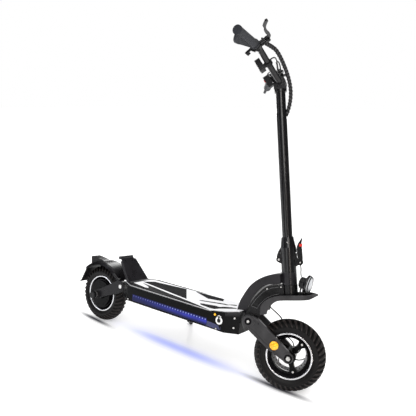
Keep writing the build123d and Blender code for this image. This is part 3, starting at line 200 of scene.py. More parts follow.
def lit_strip():
    """Blue light strip: a diffused glow, brightest a little above the middle, under a row of LEDs.

    The mesh carries its own drawing's x and z as UV, in millimetres."""
    m, nt, bsdf = new_material("led_blue")
    uv = nt.nodes.new("ShaderNodeUVMap").outputs[0]
    sep = nt.nodes.new("ShaderNodeSeparateXYZ")
    nt.links.new(uv, sep.inputs[0])
    off = math_node(nt, "DIVIDE", math_node(nt, "SUBTRACT", sep.outputs[1], LED_GLOW_Z), 8.0)
    band = math_node(nt, "EXPONENT", math_node(nt, "MULTIPLY", math_node(nt, "MULTIPLY", off, off), -1.0))
    led_at = math_node(nt, "DIVIDE", sep.outputs[0], LED_PITCH)
    cell = math_node(nt, "SUBTRACT", math_node(nt, "FRACT", led_at), 0.5)
    dx = math_node(nt, "MULTIPLY", cell, LED_PITCH)
    dz = math_node(nt, "SUBTRACT", sep.outputs[1], LED_ROW_Z)
    r2 = math_node(nt, "ADD", math_node(nt, "MULTIPLY", dx, dx), math_node(nt, "MULTIPLY", dz, dz))
    dot = math_node(nt, "EXPONENT", math_node(nt, "DIVIDE", r2, -4.5))
    halo = math_node(nt, "EXPONENT", math_node(nt, "DIVIDE", r2, -42.0))
    uneven = ranged(nt, noise_node(nt, uv, 0.02, 2.0), 0.3, 0.7, 0.8, 1.15)
    ramp = ranged(nt, sep.outputs[0], -210.0, 120.0, 0.1, 1.15)
    uneven = math_node(nt, "MULTIPLY", uneven, ramp)
    glow = math_node(nt, "MULTIPLY", math_node(nt, "MULTIPLY", band, 0.8), uneven)
    glow = math_node(nt, "ADD", glow, math_node(nt, "MULTIPLY", halo, 0.35))
    tone = mixed(nt, glow, (0.006, 0.007, 0.05), (0.06, 0.075, 0.78))
    dot = math_node(nt, "MULTIPLY", dot, ranged(nt, sep.outputs[0], -210.0, 60.0, 0.35, 1.0))
    tone = mixed(nt, dot, tone, (0.5, 0.58, 1.0))
    nt.links.new(tone, bsdf.inputs["Emission Color"])
    strength = math_node(nt, "ADD", math_node(nt, "MULTIPLY", glow, 0.45), math_node(nt, "MULTIPLY", dot, 0.9))
    nt.links.new(math_node(nt, "ADD", strength, 0.12), bsdf.inputs["Emission Strength"])
    set_in(bsdf, Base_Color=(0.01, 0.012, 0.05), Roughness=0.22)
    bsdf.inputs["Specular IOR Level"].default_value = 0.15
    return m


MAT = {
    "black_paint": finish("black_paint", BLACK, 0.22, spec=0.5, coat=0.1, smudge=0.05, bump=0.03,
                          edge_wear_and_highlight=(0.03, 0.03, 0.034)),
    "deck_black": finish("deck_black", DECK_TONE, 0.22, spec=0.1, bump=0.03,
                         edge_wear_and_highlight=(0.012, 0.012, 0.014)),
    "neck_black": finish("neck_black", NECK_TONE, 0.3, spec=0.4, coat=0.05, edge_wear_and_highlight=NECK_EDGE_WEAR_AND_HIGHLIGHT),
    "fork_black": finish("fork_black", (0.005, 0.0048, 0.0055), 0.26, spec=0.4, bump=0.03, smudge=0.05,
                         edge_wear_and_highlight=(0.12, 0.12, 0.125)),
    # arm_black's lighter base is partly painted light, standing in for the arms' lit, glossy faces.
    "arm_black": finish("arm_black", (0.028, 0.027, 0.029), 0.32, spec=0.45, coat=0.05,
                        edge_wear_and_highlight=(0.07, 0.07, 0.075)),
    "stem_paint": finish("stem_paint", (0.0045, 0.0042, 0.005), 0.2, spec=0.5, coat=0.1, smudge=0.04, grain=1600,
                         bump=0.02),
    "black_plastic": finish("black_plastic", (0.006, 0.006, 0.007), 0.42, spec=0.3, grain=1300, bump=0.15),
    "gloss_black": finish("gloss_black", (0.004, 0.004, 0.0045), 0.2, spec=0.45, coat=0.2, bump=0.03),
    # This grey is used only for the fork's beads, which are painted edge highlights.
    "edge_highlight_grey": finish("edge_highlight_grey", (0.09, 0.09, 0.093), 0.35, spec=0.5, bump=0.03),
    "wrap_black": finish("wrap_black", (0.02, 0.019, 0.021), 0.3, spec=0.5, bump=0.05),
    "tyre": finish("tyre", (0.008, 0.0075, 0.0072), 0.55, spec=0.35, grain=700, bump=0.25, edge=0.0006),
    "grip_rubber": finish("grip_rubber", (0.011, 0.0125, 0.018), 0.6, spec=0.4, grain=900, bump=0.3, sheen=0.1),
    "rear_black": finish("rear_black", (0.0045, 0.0038, 0.005), 0.3, spec=0.26, edge_wear_and_highlight=(0.03, 0.028, 0.034)),
    "border_black": finish("border_black", (0.0035, 0.0033, 0.0042), 0.55, spec=0.04),
    "deck_panel": finish("deck_panel", (0.006, 0.006, 0.007), 0.75, spec=0.12, grain=1100, bump=0.6),
    "deck_print": finish("deck_print", (0.8, 0.8, 0.82), 0.5, spec=0.4, mottle=0.03, grain=1500, bump=0.25),
    "polished_rim": finish("polished_rim", (0.86, 0.86, 0.88), 0.2, metallic=1.0, spec=0.5, mottle=0.04),
    "disc_steel": finish("disc_steel", (0.62, 0.62, 0.64), 0.38, metallic=0.55, spec=0.5, mottle=0.08),
    "zinc_steel": finish("zinc_steel", (0.78, 0.77, 0.75), 0.34, metallic=1.0, spec=0.5, mottle=0.08),
    "amber": finish("amber", (0.98, 0.5, 0.01), 0.2, spec=0.5, coat=0.6, mottle=0.08),
    "led_blue": lit_strip(),
    "end_plate": finish("end_plate", (0.035, 0.04, 0.12), 0.35, spec=0.5, mottle=0.3),
    "tail_red": finish("tail_red", (0.12, 0.006, 0.006), 0.2, spec=0.5, coat=0.6, mottle=0.08),
    "lens": finish("lens", (0.6, 0.62, 0.65), 0.12, spec=0.5, coat=0.3, mottle=0.03),
    "red_plastic": finish("red_plastic", (0.62, 0.03, 0.02), 0.3, spec=0.5, mottle=0.05),
    "white_plastic": finish("white_plastic", (0.9, 0.9, 0.9), 0.35, spec=0.5, mottle=0.03),
    "battery": finish("battery", (0.03, 0.08, 0.2), 0.4, spec=0.4, mottle=0.05),
}


# ------------------------------------------------------------------ building pieces
def put(name, me, body, mats, smooth=True):
    """A mesh that is already in the row frame becomes a piece on its body."""
    for m in mats:
        me.materials.append(MAT[m] if isinstance(m, str) else m)
    if smooth:
        me.shade_smooth()
    obj = bpy.data.objects.new(name, me)
    bpy.context.scene.collection.objects.link(obj)
    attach(obj, body)
    return obj


def mesh_of(name, verts, faces, frame_matrix, marks=None):
    """marks gives the material index of each face."""
    me = bpy.data.meshes.new(name)
    me.from_pydata([frame_matrix @ Vector(v) for v in verts], [], faces)
    if marks:
        me.polygons.foreach_set("material_index", marks)
    me.update()
    return me


def sharp_by_angle(me, angle):
    """Edges that turn more than the angle stay sharp."""
    bm = bmesh.new()
    bm.from_mesh(me)
    for e in bm.edges:
        if len(e.link_faces) == 2:
            e.smooth = e.calc_face_angle(0) < angle
    bm.to_mesh(me)
    bm.free()


def lathe(profile, steps):
    """Rings of an (r, y) outline about the Y axis; returns verts and quad faces."""
    n = len(profile)
    turns = [2 * pi * k / steps for k in range(steps)]
    verts = [(r * cos(a), y, r * sin(a)) for a in turns for r, y in profile]
    faces = []
    for k in range(steps):
        a, b = k * n, ((k + 1) % steps) * n
        for i in range(n):
            j = (i + 1) % n
            faces.append((a + i, a + j, b + j, b + i))
    return verts, faces


def prism(outline, z0, z1):
    """An (x, y) outline raised from z0 to z1."""
    n = len(outline)
    verts = [(x, y, z0) for x, y in outline] + [(x, y, z1) for x, y in outline]
    faces = [tuple(range(n))[::-1], tuple(range(n, 2 * n))]
    faces += [(i, (i + 1) % n, n + (i + 1) % n, n + i) for i in range(n)]
    return verts, faces


def joined(parts):
    """Several (verts, faces) lists as one."""
    verts, faces = [], []
    for v, f in parts:
        k = len(verts)
        verts += v
        faces += [tuple(i + k for i in g) for g in f]
    return verts, faces


def smoothstep(a, b, x):
    t = min(1.0, max(0.0, (x - a) / (b - a)))
    return t * t * (3 - 2 * t)


# ------------------------------------------------------------------ tyres
TYRE_R, CROWN_R, RIM_R = 127.5, 34.0, 82.5
CROWN_C = TYRE_R - CROWN_R
LUGS = 38                      # shoulder lugs round the tyre
LUG_STEPS = 14                 # mesh steps per lug
GROOVE = 4.2                   # tread depth
CROWN_ANGLE = 74               # the carved crown reaches this far from the middle, in degrees


def tread_depth(turn, s):
    """Depth of the tread at a turn (in lugs) and a place s across it, -1 to 1."""
    a = abs(s)
    side = 0.5 if s > 0 else 0.0
    lean = turn + side + 0.95 * a ** 1.25
    f = lean % 1.0
    width = 0.15 + 0.15 * a
    lug = smoothstep(width + 0.07, width, min(f, 1 - f))
    lug *= smoothstep(0.16, 0.26, a) * smoothstep(1.02, 0.9, a)
    zig = 0.19 + 0.045 * (abs(((turn + side) % 1.0) * 2 - 1) * 2 - 1)
    ring = smoothstep(0.055, 0.03, abs(a - zig))
    sipe_at = (lean + 0.5) % 1.0
    sipe = 0.35 * smoothstep(0.05, 0.02, min(sipe_at, 1 - sipe_at))
    sipe *= smoothstep(0.42, 0.5, a) * smoothstep(0.8, 0.7, a)
    centre = (turn + 0.25 + 0.5 * s) % 1.0
    nick = 0.6 * smoothstep(0.07, 0.03, min(centre, 1 - centre)) * smoothstep(0.2, 0.12, a)
    return max(lug, ring * 0.9, sipe, nick)


def tyre_rubber():
    """Rubber with a painted highlight on its raised tread and painted shade in its grooves, read from the mesh's
    tread depth.
    """
    m = finish("tyre", (0.0042, 0.0038, 0.004), 0.42, spec=0.2, grain=700, bump=0.25, edge=0.0006)
    nt = m.node_tree
    bsdf = nt.nodes["Principled BSDF"]
    tone = bsdf.inputs["Base Color"].links[0].from_socket
    depth = nt.nodes.new("ShaderNodeAttribute")
    depth.attribute_name = "tread"
    # Painted light: the raised tread is painted a lighter brown as a highlight, and the grooves darker as shade.
    painted_groove_shade = ranged(nt, depth.outputs["Fac"], 0.0, 0.5, 0.0, 1.0)
    painted_lit_tread = mixed(nt, ranged(nt, depth.outputs["Fac"], -1.0, -0.2, 1.0, 0.0), tone, (0.03, 0.024, 0.023))
    nt.links.new(mixed(nt, painted_groove_shade, painted_lit_tread, (0.0012, 0.0012, 0.0012)), bsdf.inputs["Base Color"])
    return m


def tyre(name, node, x, matrix, body):
    """Tyre with a carved crown; its tread depth is kept on the points for the rubber's colours."""
    crown_half = 44                # mesh steps from the middle of the crown to a shoulder
    steps = LUGS * LUG_STEPS
    side = [(97.5, 31.2), (95.5, 31.6), (92.5, 30.2), (88.5, 28.6), (85.2, 27.4), (83.4, 26.4), (83.2, 22.0)]
    inner = [(76.4, 21.2), (76.4, 15.0), (82.0, 17.0), (89.0, 23.4)]
    inside = [(CROWN_C + 28 * cos(radians(a)), 28 * sin(radians(a))) for a in range(70, -71, -20)]
    half = side + inner
    verts, faces, tread = [], [], []
    fixed = half + inside + [(r, -y) for r, y in reversed(half)]
    n = 2 * crown_half + 1 + len(fixed)
    for k in range(steps):
        turn = k / LUG_STEPS
        ca, sa = cos(2 * pi * k / steps), sin(2 * pi * k / steps)
        ring = []
        for i in range(-crown_half, crown_half + 1):
            s = i / crown_half
            ang = radians(CROWN_ANGLE * s)
            depth = tread_depth(turn, s)
            r = CROWN_R - GROOVE * depth
            ring.append((CROWN_C + r * cos(ang), r * sin(ang)))
            tread.append(depth if depth > 0.05 or abs(s) > 0.97 else -1.0)
        ring += fixed
        tread += [0.0] * len(fixed)
        verts += [(r * ca, y, r * sa) for r, y in ring]
    for k in range(steps):
        a, b = k * n, ((k + 1) % steps) * n
        faces += [(a + i, a + (i + 1) % n, b + (i + 1) % n, b + i) for i in range(n)]
    me = mesh_of(name, verts, faces, matrix @ Matrix.Translation((x, 0, AXLE_Z)))
    me.attributes.new("tread", "FLOAT", "POINT").data.foreach_set("value", tread)
    obj = put(name, me, body, ["tread_rubber"])
    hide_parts(node)
    return obj


def rim(name, node, x, matrix, body):
    """Black rim with a turned, polished lip on each side."""
    half = [(82.5, 21.5), (82.5, 24.8), (82.2, 25.6), (81.5, 26.0), (77.9, 26.0), (77.2, 25.7), (76.8, 25.2),
            (74.0, 22.5), (66.6, 14.0)]
    well = [(71.0, 10.5), (76.0, 13.5), (76.0, 21.5)]
    profile = half + [(r, -y) for r, y in reversed(half)] + [(r, -y) for r, y in reversed(well)] + well
    verts, faces = lathe(profile, 144)
    n = len(profile)
    marks = []
    for f in faces:
        r0, y0 = profile[f[0] % n]
        r1, y1 = profile[f[1] % n]
        marks.append(1 if min(abs(y0), abs(y1)) > 24.0 and min(r0, r1) > 76.0 else 0)
    me = mesh_of(name, verts, faces, matrix @ Matrix.Translation((x, 0, AXLE_Z)), marks)
    sharp_by_angle(me, radians(40))
    obj = put(name, me, body, ["black_paint", "polished_rim"])
    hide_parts(node)
    return obj


# ------------------------------------------------------------------ wheel details
SPOKE_TURNS = (50, 170, 290)   # degrees
HUB_BOLT_R = 60.0
DISC_HOLES, SPIDER_ARMS = 36, 6


def round_bolt(x, y, z, r, high, side):
    """Domed button head with a hex socket, its foot at y, facing side along Y."""
    profile = [(0.0, high * 0.45), (r * 0.42, high * 0.45), (r * 0.5, high), (r * 0.7, high * 0.97),
               (r * 0.93, high * 0.6), (r, 0.0), (r, -0.6), (0.0, -0.6)]
    verts, faces = lathe(profile, 24)
    return [(x + a, y + side * b, z + c) for a, b, c in verts], [f if side > 0 else f[::-1] for f in faces]


def swept_plate(outline, y0, y1, bevel=0.8):
    """A closed (x, z) outline pushed from y0 to y1 with small chamfers."""
    n = len(outline)
    out = []
    for k, (x, z) in enumerate(outline):
        (xa, za), (xb, zb) = outline[k - 1], outline[(k + 1) % n]
        tx, tz = xb - xa, zb - za
        d = hypot(tx, tz) or 1.0
        nx, nz = tz / d, -tx / d
        out.append((x - nx * bevel, z - nz * bevel))
    levels = [(out, y0), (outline, y0 + bevel), (outline, y1 - bevel), (out, y1)]
    verts = [(x, y, z) for pts, y in levels for x, z in pts]
    faces = [tuple(range(n)), tuple(range(3 * n, 4 * n))[::-1]]
    for a, b in ((0, n), (n, 2 * n), (2 * n, 3 * n)):
        faces += [(a + i, b + i, b + (i + 1) % n, a + (i + 1) % n) for i in range(n)]
    return verts, faces


def front_hub():
    """Cast hub: a thin ring, three flared spokes with a bolt at each end, and the barrel."""
    place = FRONT @ Matrix.Translation((AXF, 0, AXLE_Z))
    ring = lathe([(66.5, -10.4), (66.5, 10.4), (63.6, 10.4), (62.8, 9.6), (62.8, -9.6), (63.6, -10.4)], 120)
    barrel = lathe([(10.1, -34), (22, -34), (25, -31), (25, 27), (22, 30), (10.1, 30)], 72)
    edge = [(20, 12.5), (30, 9.5), (42, 8.6), (52, 10.5), (58, 14.5), (62, 20.5), (63.6, 23.0)]
    spoke = [(u, -v) for u, v in edge] + [(u, v) for u, v in reversed(edge)]
    parts, bolts = [ring, barrel], []
    for turn in SPOKE_TURNS:
        ca, sa = cos(radians(turn)), sin(radians(turn))
        parts.append(swept_plate([(u * ca - v * sa, u * sa + v * ca) for u, v in spoke], -10, 10, 1.6))
        bolts += [round_bolt(HUB_BOLT_R * ca, s * 10.0, HUB_BOLT_R * sa, 4.4, 2.6, s) for s in (-1, 1)]
    add_part("front_spoke_hub", parts, place, "front_wheel", "deck_black", 35, "front_hub")
    add_part("front_hub_bolts", bolts, place, "front_wheel", "zinc_steel", 50)


def brake_disc(name, node, x, y0, y1, r_out, r_in, matrix, body):
    """Rotor ring whose drilled holes are drawn as dark spots on both faces, on a black spider of curved arms."""
    ring, faces = lathe([(r_out, y0), (r_out, y1), (r_in, y1), (r_in, y0)], 216)
    spots = []
    for k in range(DISC_HOLES):
        a = 2 * pi * k / DISC_HOLES
        r = (r_out + r_in) / 2 + (2.8 if k % 2 else -2.8)
        for s, y in ((-1, y0), (1, y1)):
            v, f = lathe([(0.0, 0.06), (2.1, 0.06), (2.1, -0.4), (0.0, -0.4)], 14)
            v = [(r * cos(a) + p, y + s * q, r * sin(a) + w) for p, q, w in v]
            spots.append((v, f if s > 0 else [g[::-1] for g in f]))
    spider = [lathe([(24, y0 + 0.1), (24, y1 - 0.1), (11, y1 - 0.1), (11, y0 + 0.1)], 60)]
    for k in range(SPIDER_ARMS):
        left, right = [], []
        for i in range(13):
            t = i / 12
            r, a = 20 + (r_in + 3 - 20) * t, radians(60 * k + 52 * t)
            w = (5.6 - 2.4 * sin(pi * t)) / r
            left.append((r * cos(a + w / 2), r * sin(a + w / 2)))
            right.append((r * cos(a - w / 2), r * sin(a - w / 2)))
        spider.append(swept_plate(left + right[::-1], y0 + 0.2, y1 - 0.2, 0.3))
    place = matrix @ Matrix.Translation((x, 0, AXLE_Z))
    metal = put(name, mesh_of(name, ring, faces, place), body, ["disc_steel"], smooth=False)
    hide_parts(node)
    # The holes are not cut: the dark spots stand in for what is seen through them, partly painted shade and
    # partly the dark parts behind.
    for label, parts in ((name + "_holes", spots), (name + "_spider", spider)):
        verts, faces = joined(parts)
        put(label, mesh_of(label, verts, faces, place), body, ["deck_black"], smooth=False)


# ------------------------------------------------------------------ bolts, pins, reflectors
def aimed(part, p, q):
    """A piece drawn along Y from the origin, moved to p and turned to point at q."""
    verts, faces = part
    turn = Vector((0, 1, 0)).rotation_difference(Vector(q) - Vector(p)).to_matrix()
    return [tuple(turn @ Vector(v) + Vector(p)) for v in verts], faces


def add_part(name, parts, matrix, body, mat, angle=40, node=None):
    """Joined parts as one piece, sharp where they turn more than angle degrees."""
    verts, faces = joined(parts)
    me = mesh_of(name, verts, faces, matrix)
    sharp_by_angle(me, radians(angle))
    obj = put(name, me, body, [mat])
    if node:
        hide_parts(node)
    return obj


def shift(part, x, y, z):
    """A piece moved by x, y, z."""
    return [(x + a, y + b, z + c) for a, b, c in part[0]], part[1]


def hex_nut(y0, y1, r, side):
    """Chamfered hexagon nut along Y, from y0 out to y1."""
    profile = [(0.0, y0 * side), (r, y0 * side), (r, (y1 - 0.8) * side), (r - 0.9, y1 * side), (0.0, y1 * side)]
    verts, faces = lathe(profile, 6)
    return verts, faces if side > 0 else [f[::-1] for f in faces]


def ring_of(r_in, r_out, y0, y1, steps=60, c=0.5):
    """Flat ring about Y with rims chamfered by c."""
    lo, hi = sorted((y0, y1))
    return lathe([(r_in, lo), (r_out - c, lo), (r_out, lo + c), (r_out, hi - c), (r_out - c, hi),
                  (r_in + c, hi), (r_in, hi - c)], steps)


def front_axle():
    """Axle with a dark washer and a bright nut and stud on each end."""
    place = FRONT @ Matrix.Translation((AXF, 0, AXLE_Z))
    bright = [lathe([(0, -53), (9.9, -53), (9.9, 53), (0, 53)], 40)]
    dark = []
    for s in (-1, 1):
        stud = [(0, 57), (4.6, 57), (4.6, 58.6), (4.0, 59.1), (0, 59.1)]
        bright += [hex_nut(53.5, 57.6, 8.4, s), lathe([(r, y * s) for r, y in stud], 24)]
        dark.append(ring_of(6, 14, 52.0 * s, 54.2 * s))
    add_part("front_axle_steel", bright, place, "front_arm", "zinc_steel", node="front_axle")
    add_part("front_axle_washers", dark, place, "front_arm", "deck_black")


def pins():
    """Fold pin, latch pin, swing arm pin and the four fork screws."""
    bright, dark = [], []
    fold, latch, arm = (-33, 343, 3.9, 14.0, 6.0), (42, 331, 2.9, 13.5, 4.6), (-147.5, 130, 7.9, 54.5, 0)
    for x, t, r, half, head in (fold, latch, arm):
        bright.append(shift(lathe([(0, -half), (r, -half), (r, half), (0, half)], 28), x, 0, t))
        for s in (-1, 1):
            if head:
                bright.append(round_bolt(x, s * half, t, head * 0.72, 2.2, s))
                dark.append(shift(ring_of(head * 0.6, head, s * half, s * (half + 1.1), 36), x, 0, t))
            else:
                bright.append(round_bolt(x, s * 55.2, t, 5.4, 2.9, s))
                dark.append(shift(ring_of(4.4, 12.6, s * 54.0, s * 56.6, 48, 0.8), x, 0, t))
    for x, t in ((-78, 240.5), (-28.5, 246.5)):
        for s in (-1, 1):
            bright.append(round_bolt(x, s * 27, t, 3.0, 1.9, s))
    bright.append(round_bolt(0, -22.2, 404, 2.8, 1.6, -1))
    add_part("steel_pins", bright, COLUMN, "steering", "zinc_steel", node="steer_pins")
    add_part("pin_collars", dark, COLUMN, "steering", "deck_black")


def amber_glass():
    """Amber plastic whose moulded prisms have their glints painted in as lighter and darker cells, with a faint
    painted glow.
    """
    m = finish("amber_glass", (0.93, 0.43, 0.006), 0.16, spec=0.5, coat=0.5, mottle=0.1)
    nt = m.node_tree
    bsdf = nt.nodes["Principled BSDF"]
    cells = nt.nodes.new("ShaderNodeTexVoronoi")
    cells.inputs["Scale"].default_value = 260
    nt.links.new(nt.nodes.new("ShaderNodeTexCoord").outputs["Object"], cells.inputs["Vector"])
    # Painted light: the prism glints are painted into the colour, and the emission is a faint painted glow on a
    # reflector that is no lamp.
    painted_glint = ranged(nt, cells.outputs["Color"], 0.15, 0.85, 0, 1)
    nt.links.new(mixed(nt, painted_glint, (0.8, 0.26, 0.002), (1.0, 0.66, 0.03)), bsdf.inputs["Base Color"])
    nt.links.new(mixed(nt, painted_glint, (0.5, 0.13, 0.0), (1.0, 0.6, 0.02)), bsdf.inputs["Emission Color"])
    bsdf.inputs["Emission Strength"].default_value = 0.12
    return m


def reflectors():
    """Round arm reflectors: a dark seat and a domed amber face."""
    place = FRONT @ Matrix.Translation((AXF - 54, 0, AXLE_Z + 34.5))
    faces, seats = [], []
    for s in (-1, 1):
        dome = [(0.0, 57.4), (6, 57.2), (11, 56.6), (14.6, 55.4), (15.6, 54.0), (15.6, 52.6), (0, 52.6)]
        faces.append(lathe([(r, y * s) for r, y in dome], 64))
        seats.append(ring_of(3, 16.4, 49.2 * s, 53.2 * s))
    add_part("reflector_faces", faces, place, "front_arm", "amber_glass", node="arm_reflectors")
    add_part("reflector_seats", seats, place, "front_arm", "black_plastic")


# ------------------------------------------------------------------ neck and fork
def smooth_line(points, n=4):
    """Points along a smooth curve through the given points."""
    pts = [points[0]] + points + [points[-1]]
    out = []
    for k in range(1, len(pts) - 2):
        for t in (i / n for i in range(n)):
            near = zip(*pts[k - 1:k + 3])
            out.append(tuple(0.5 * (2 * b + (c - a) * t + (2 * a - 5 * b + 4 * c - d) * t ** 2
                                    + (3 * b - a - 3 * c + d) * t ** 3) for a, b, c, d in near))
    return out + [points[-1]]


def neck_underside_shade_sheet():
    """Sheet in the neck's paint along the neck's underside that closes the gap to the fork, standing in for the
    shade seen there.
    """
    under = [(-53, 379), (-79, 371.5), (-101, 364.5), (-124.5, 349), (-146, 323.5), (-162, 294), (-170, 268),
             (-176, 244), (-179, 226)]
    seat = [(-181.5, 228), (-178.5, 245), (-172.5, 268.5), (-165.5, 296), (-150, 327), (-128, 354.5), (-101, 370),
            (-79, 377), (-55, 384)]
    outline = [(AXF + x, z) for x, z in smooth_line(under) + smooth_line(seat)]
    # Painted shade: this sheet stands in for the shade in the gap between neck and fork.
    plate = swept_plate(outline, -36.9, 36.9, 0.4)
    add_part("neck_underside_shade_sheet", [plate], DECK, "deck", "neck_black")


def fork_trim():
    """A dark plate that makes the recess shallow, standing in for its shade; grey beads along its edges as
    painted highlights; and the lip that rounds the fork's inner side.
    """
    floor = [(-38, 243.5), (-62, 240.5), (-89, 228.5), (-116.5, 203), (-134, 181), (-118.5, 174.5),
             (-110, 189), (-85.5, 209.5), (-61, 220.5), (-38, 225.4)]
    inner = [(-138, 180), (-117.5, 171), (-107, 187), (-83.3, 206.8), (-59.6, 217.6), (-36, 222.6)]
    outer = [(-37, 246.3), (-62, 243.4), (-91, 231), (-119.5, 205), (-137.5, 182)]
    lip = smooth_line([(-132, 131), (-112, 141), (-106, 155), (-102, 176), (-92, 191.5), (-69, 202.3),
                       (-34, 206.6)])
    lip += [(-34, 209.5), (-78, 206), (-98, 197), (-114, 185), (-129, 154), (-136, 141)]
    recess_shade_plates, highlight_beads = [], []
    for s in (-1, 1):
        recess_shade_plates.append(swept_plate(floor, 20.2 * s, 21.4 * s, 0.2))
        highlight_beads += [bead([(x, s * 27.0, t) for x, t in line], 0.75) for line in (inner, outer)]
    # Painted light: the dark recess plate stands in for the shade in the pocket, and the grey beads are painted
    # edge highlights.
    add_part("fork_recess_shade_plate", recess_shade_plates, COLUMN, "steering", "gloss_black")
    add_part("fork_highlight_beads", highlight_beads, COLUMN, "steering", "edge_highlight_grey", 80)
    add_part("fork_lip", [swept_plate(lip, -26.9, 26.9)], COLUMN, "steering", "fork_black")


def bead(points, r, sides=8):
    """Round bead along a line of points."""
    pts = [Vector(p) for p in points]
    turns = [2 * pi * i / sides for i in range(sides)]
    verts, faces = [], []
    for k, at in enumerate(pts):
        along = (pts[min(k + 1, len(pts) - 1)] - pts[max(k - 1, 0)]).normalized()
        a = along.orthogonal().normalized() if abs(along.y) > 0.9 else Vector((0, 1, 0))
        a = (a - along * a.dot(along)).normalized()
        b = along.cross(a)
        verts += [tuple(at + (a * cos(w) + b * sin(w)) * r) for w in turns]
        if k:
            o, n = (k - 1) * sides, k * sides
            faces += [(o + i, o + (i + 1) % sides, n + (i + 1) % sides, n + i) for i in range(sides)]
    faces += [tuple(range(sides))[::-1], tuple(range(len(verts) - sides, len(verts)))]
    return verts, faces


# ------------------------------------------------------------------ head lamp
LAMP_POST_X, LAMP_TURN = 45, -13       # the lamp is turned about its post, in degrees
LAMP_FINS = 4


def head_lamp():
    """Finned round lamp: body, bezel and a domed white lens, turned with its bracket."""
    post = Matrix.Translation((LAMP_POST_X, 0, 0))
    place = COLUMN @ post @ Matrix.Rotation(radians(LAMP_TURN), 4, "Z") @ post.inverted()
    centre, aim = Vector((36, 0, 260.6)), Vector((0.958, 0, -0.287))
    body = [(0, 0), (15, 0), (18, 2)]
    for k in range(LAMP_FINS):
        y = 4 + 4.6 * k
        body += [(18, y), (20.8, y + 0.5), (20.8, y + 2.6), (18, y + 3.1)]
    body += [(18, 22), (26, 23), (32.6, 25.5), (33.4, 27), (33.4, 33), (32.6, 34), (30.8, 34), (30.4, 30),
             (0, 30)]
    add_part("lamp_housing", [aimed(lathe(body, 72), centre, centre + aim)], place, "head_lamp",
             "gloss_black", node="lamp_body")
    rim = ring_of(27.6, 30.6, 36.2, 40.2, 72, 0.8)
    add_part("lamp_rim", [aimed(rim, centre, centre + aim)], place, "head_lamp", "gloss_black")
    lens = [(0, 30.5), (30.2, 30.5), (30.2, 33.6), (28.6, 36.4), (23, 39.6), (14, 42.2), (6, 43.3), (0, 43.5)]
    add_part("lamp_glass", [aimed(lathe(lens, 72), centre, centre + aim)], place, "head_lamp", "lens",
             node="lamp_lens")


# ------------------------------------------------------------------ cords
def nurbs(name, points, matrix):
    """One smooth NURBS spline with the route's points; returns the curve object and its sampled line."""
    data = bpy.data.curves.new(name, "CURVE")
    data.dimensions = "3D"
    spline = data.splines.new("NURBS")
    spline.points.add(len(points) - 1)
    for point, place in zip(spline.points, points):
        point.co = (*(matrix @ Vector(place)), 1.0)
    spline.order_u = 3
    spline.use_endpoint_u = True
    spline.resolution_u = 24
    obj = bpy.data.objects.new(name, data)
    bpy.context.scene.collection.objects.link(obj)
    return obj, [v.co.copy() for v in bpy.data.meshes.new_from_object(obj).vertices]


def cord_line(name, points, radius, matrix, body, mat, node=None):
    """A cable that goes back into the object at its far end."""
    obj, line = nurbs(name, points, matrix)
    data = obj.data
    data.bevel_depth = radius * MM
    data.bevel_resolution = 4
    data.use_fill_caps = True
    data.materials.append(MAT[mat])
    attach(obj, body)
    if node:
        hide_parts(node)
    return line


def blended_hose(name, points, radius, matrix, mat):
    """A hose between two bodies, as a mesh tube along its NURBS line."""
    guide, line = nurbs(name + "_guide", points, matrix)
    bpy.data.objects.remove(guide)
    verts, faces = bead(line, radius * MM, 12)
    me = mesh_of(name, verts, faces, Matrix())
    me.materials.append(MAT[mat])
    me.shade_smooth()
    obj = bpy.data.objects.new(name, me)
    bpy.context.scene.collection.objects.link(obj)
    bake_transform(obj)


def spiral_wrap(name, line, radius, pitch, wire, body, mat):
    """Spiral binding round a cable: a flat strip wound along its sampled line."""
    verts, faces = [], []
    run, runs = 0.0, []                # length along the line up to each of its points
    for k, at in enumerate(line):
        run += (at - line[k - 1]).length if k else 0.0
        runs.append(run)
    steps = int(run / pitch * 14)
    section = [(radius - 0.0003, -1), (radius + wire, -0.8), (radius + wire, 0.8), (radius - 0.0003, 1)]
    k = 0
    side = None
    for n in range(steps):
        d = run * (0.02 + 0.96 * n / (steps - 1))
        while runs[k + 1] < d:
            k += 1
        f = (d - runs[k]) / (runs[k + 1] - runs[k])
        at = line[k].lerp(line[k + 1], f)
        along = (line[k + 1] - line[k]).normalized()
        side = side if side else Vector((0, 0, 1)).cross(along)
        side = (side - along * side.dot(along)).normalized()
        other = along.cross(side)
        a = 2 * pi * d / pitch
        out = side * cos(a) + other * sin(a)
        base = len(verts)
        verts += [at + out * o + along * (w * pitch * 0.3) for o, w in section]
        if n:
            faces += [(base - 4 + i, base + i, base + (i + 1) % 4, base - 4 + (i + 1) % 4) for i in range(4)]
    put(name, mesh_of(name, verts, faces, Matrix()), body, [mat])


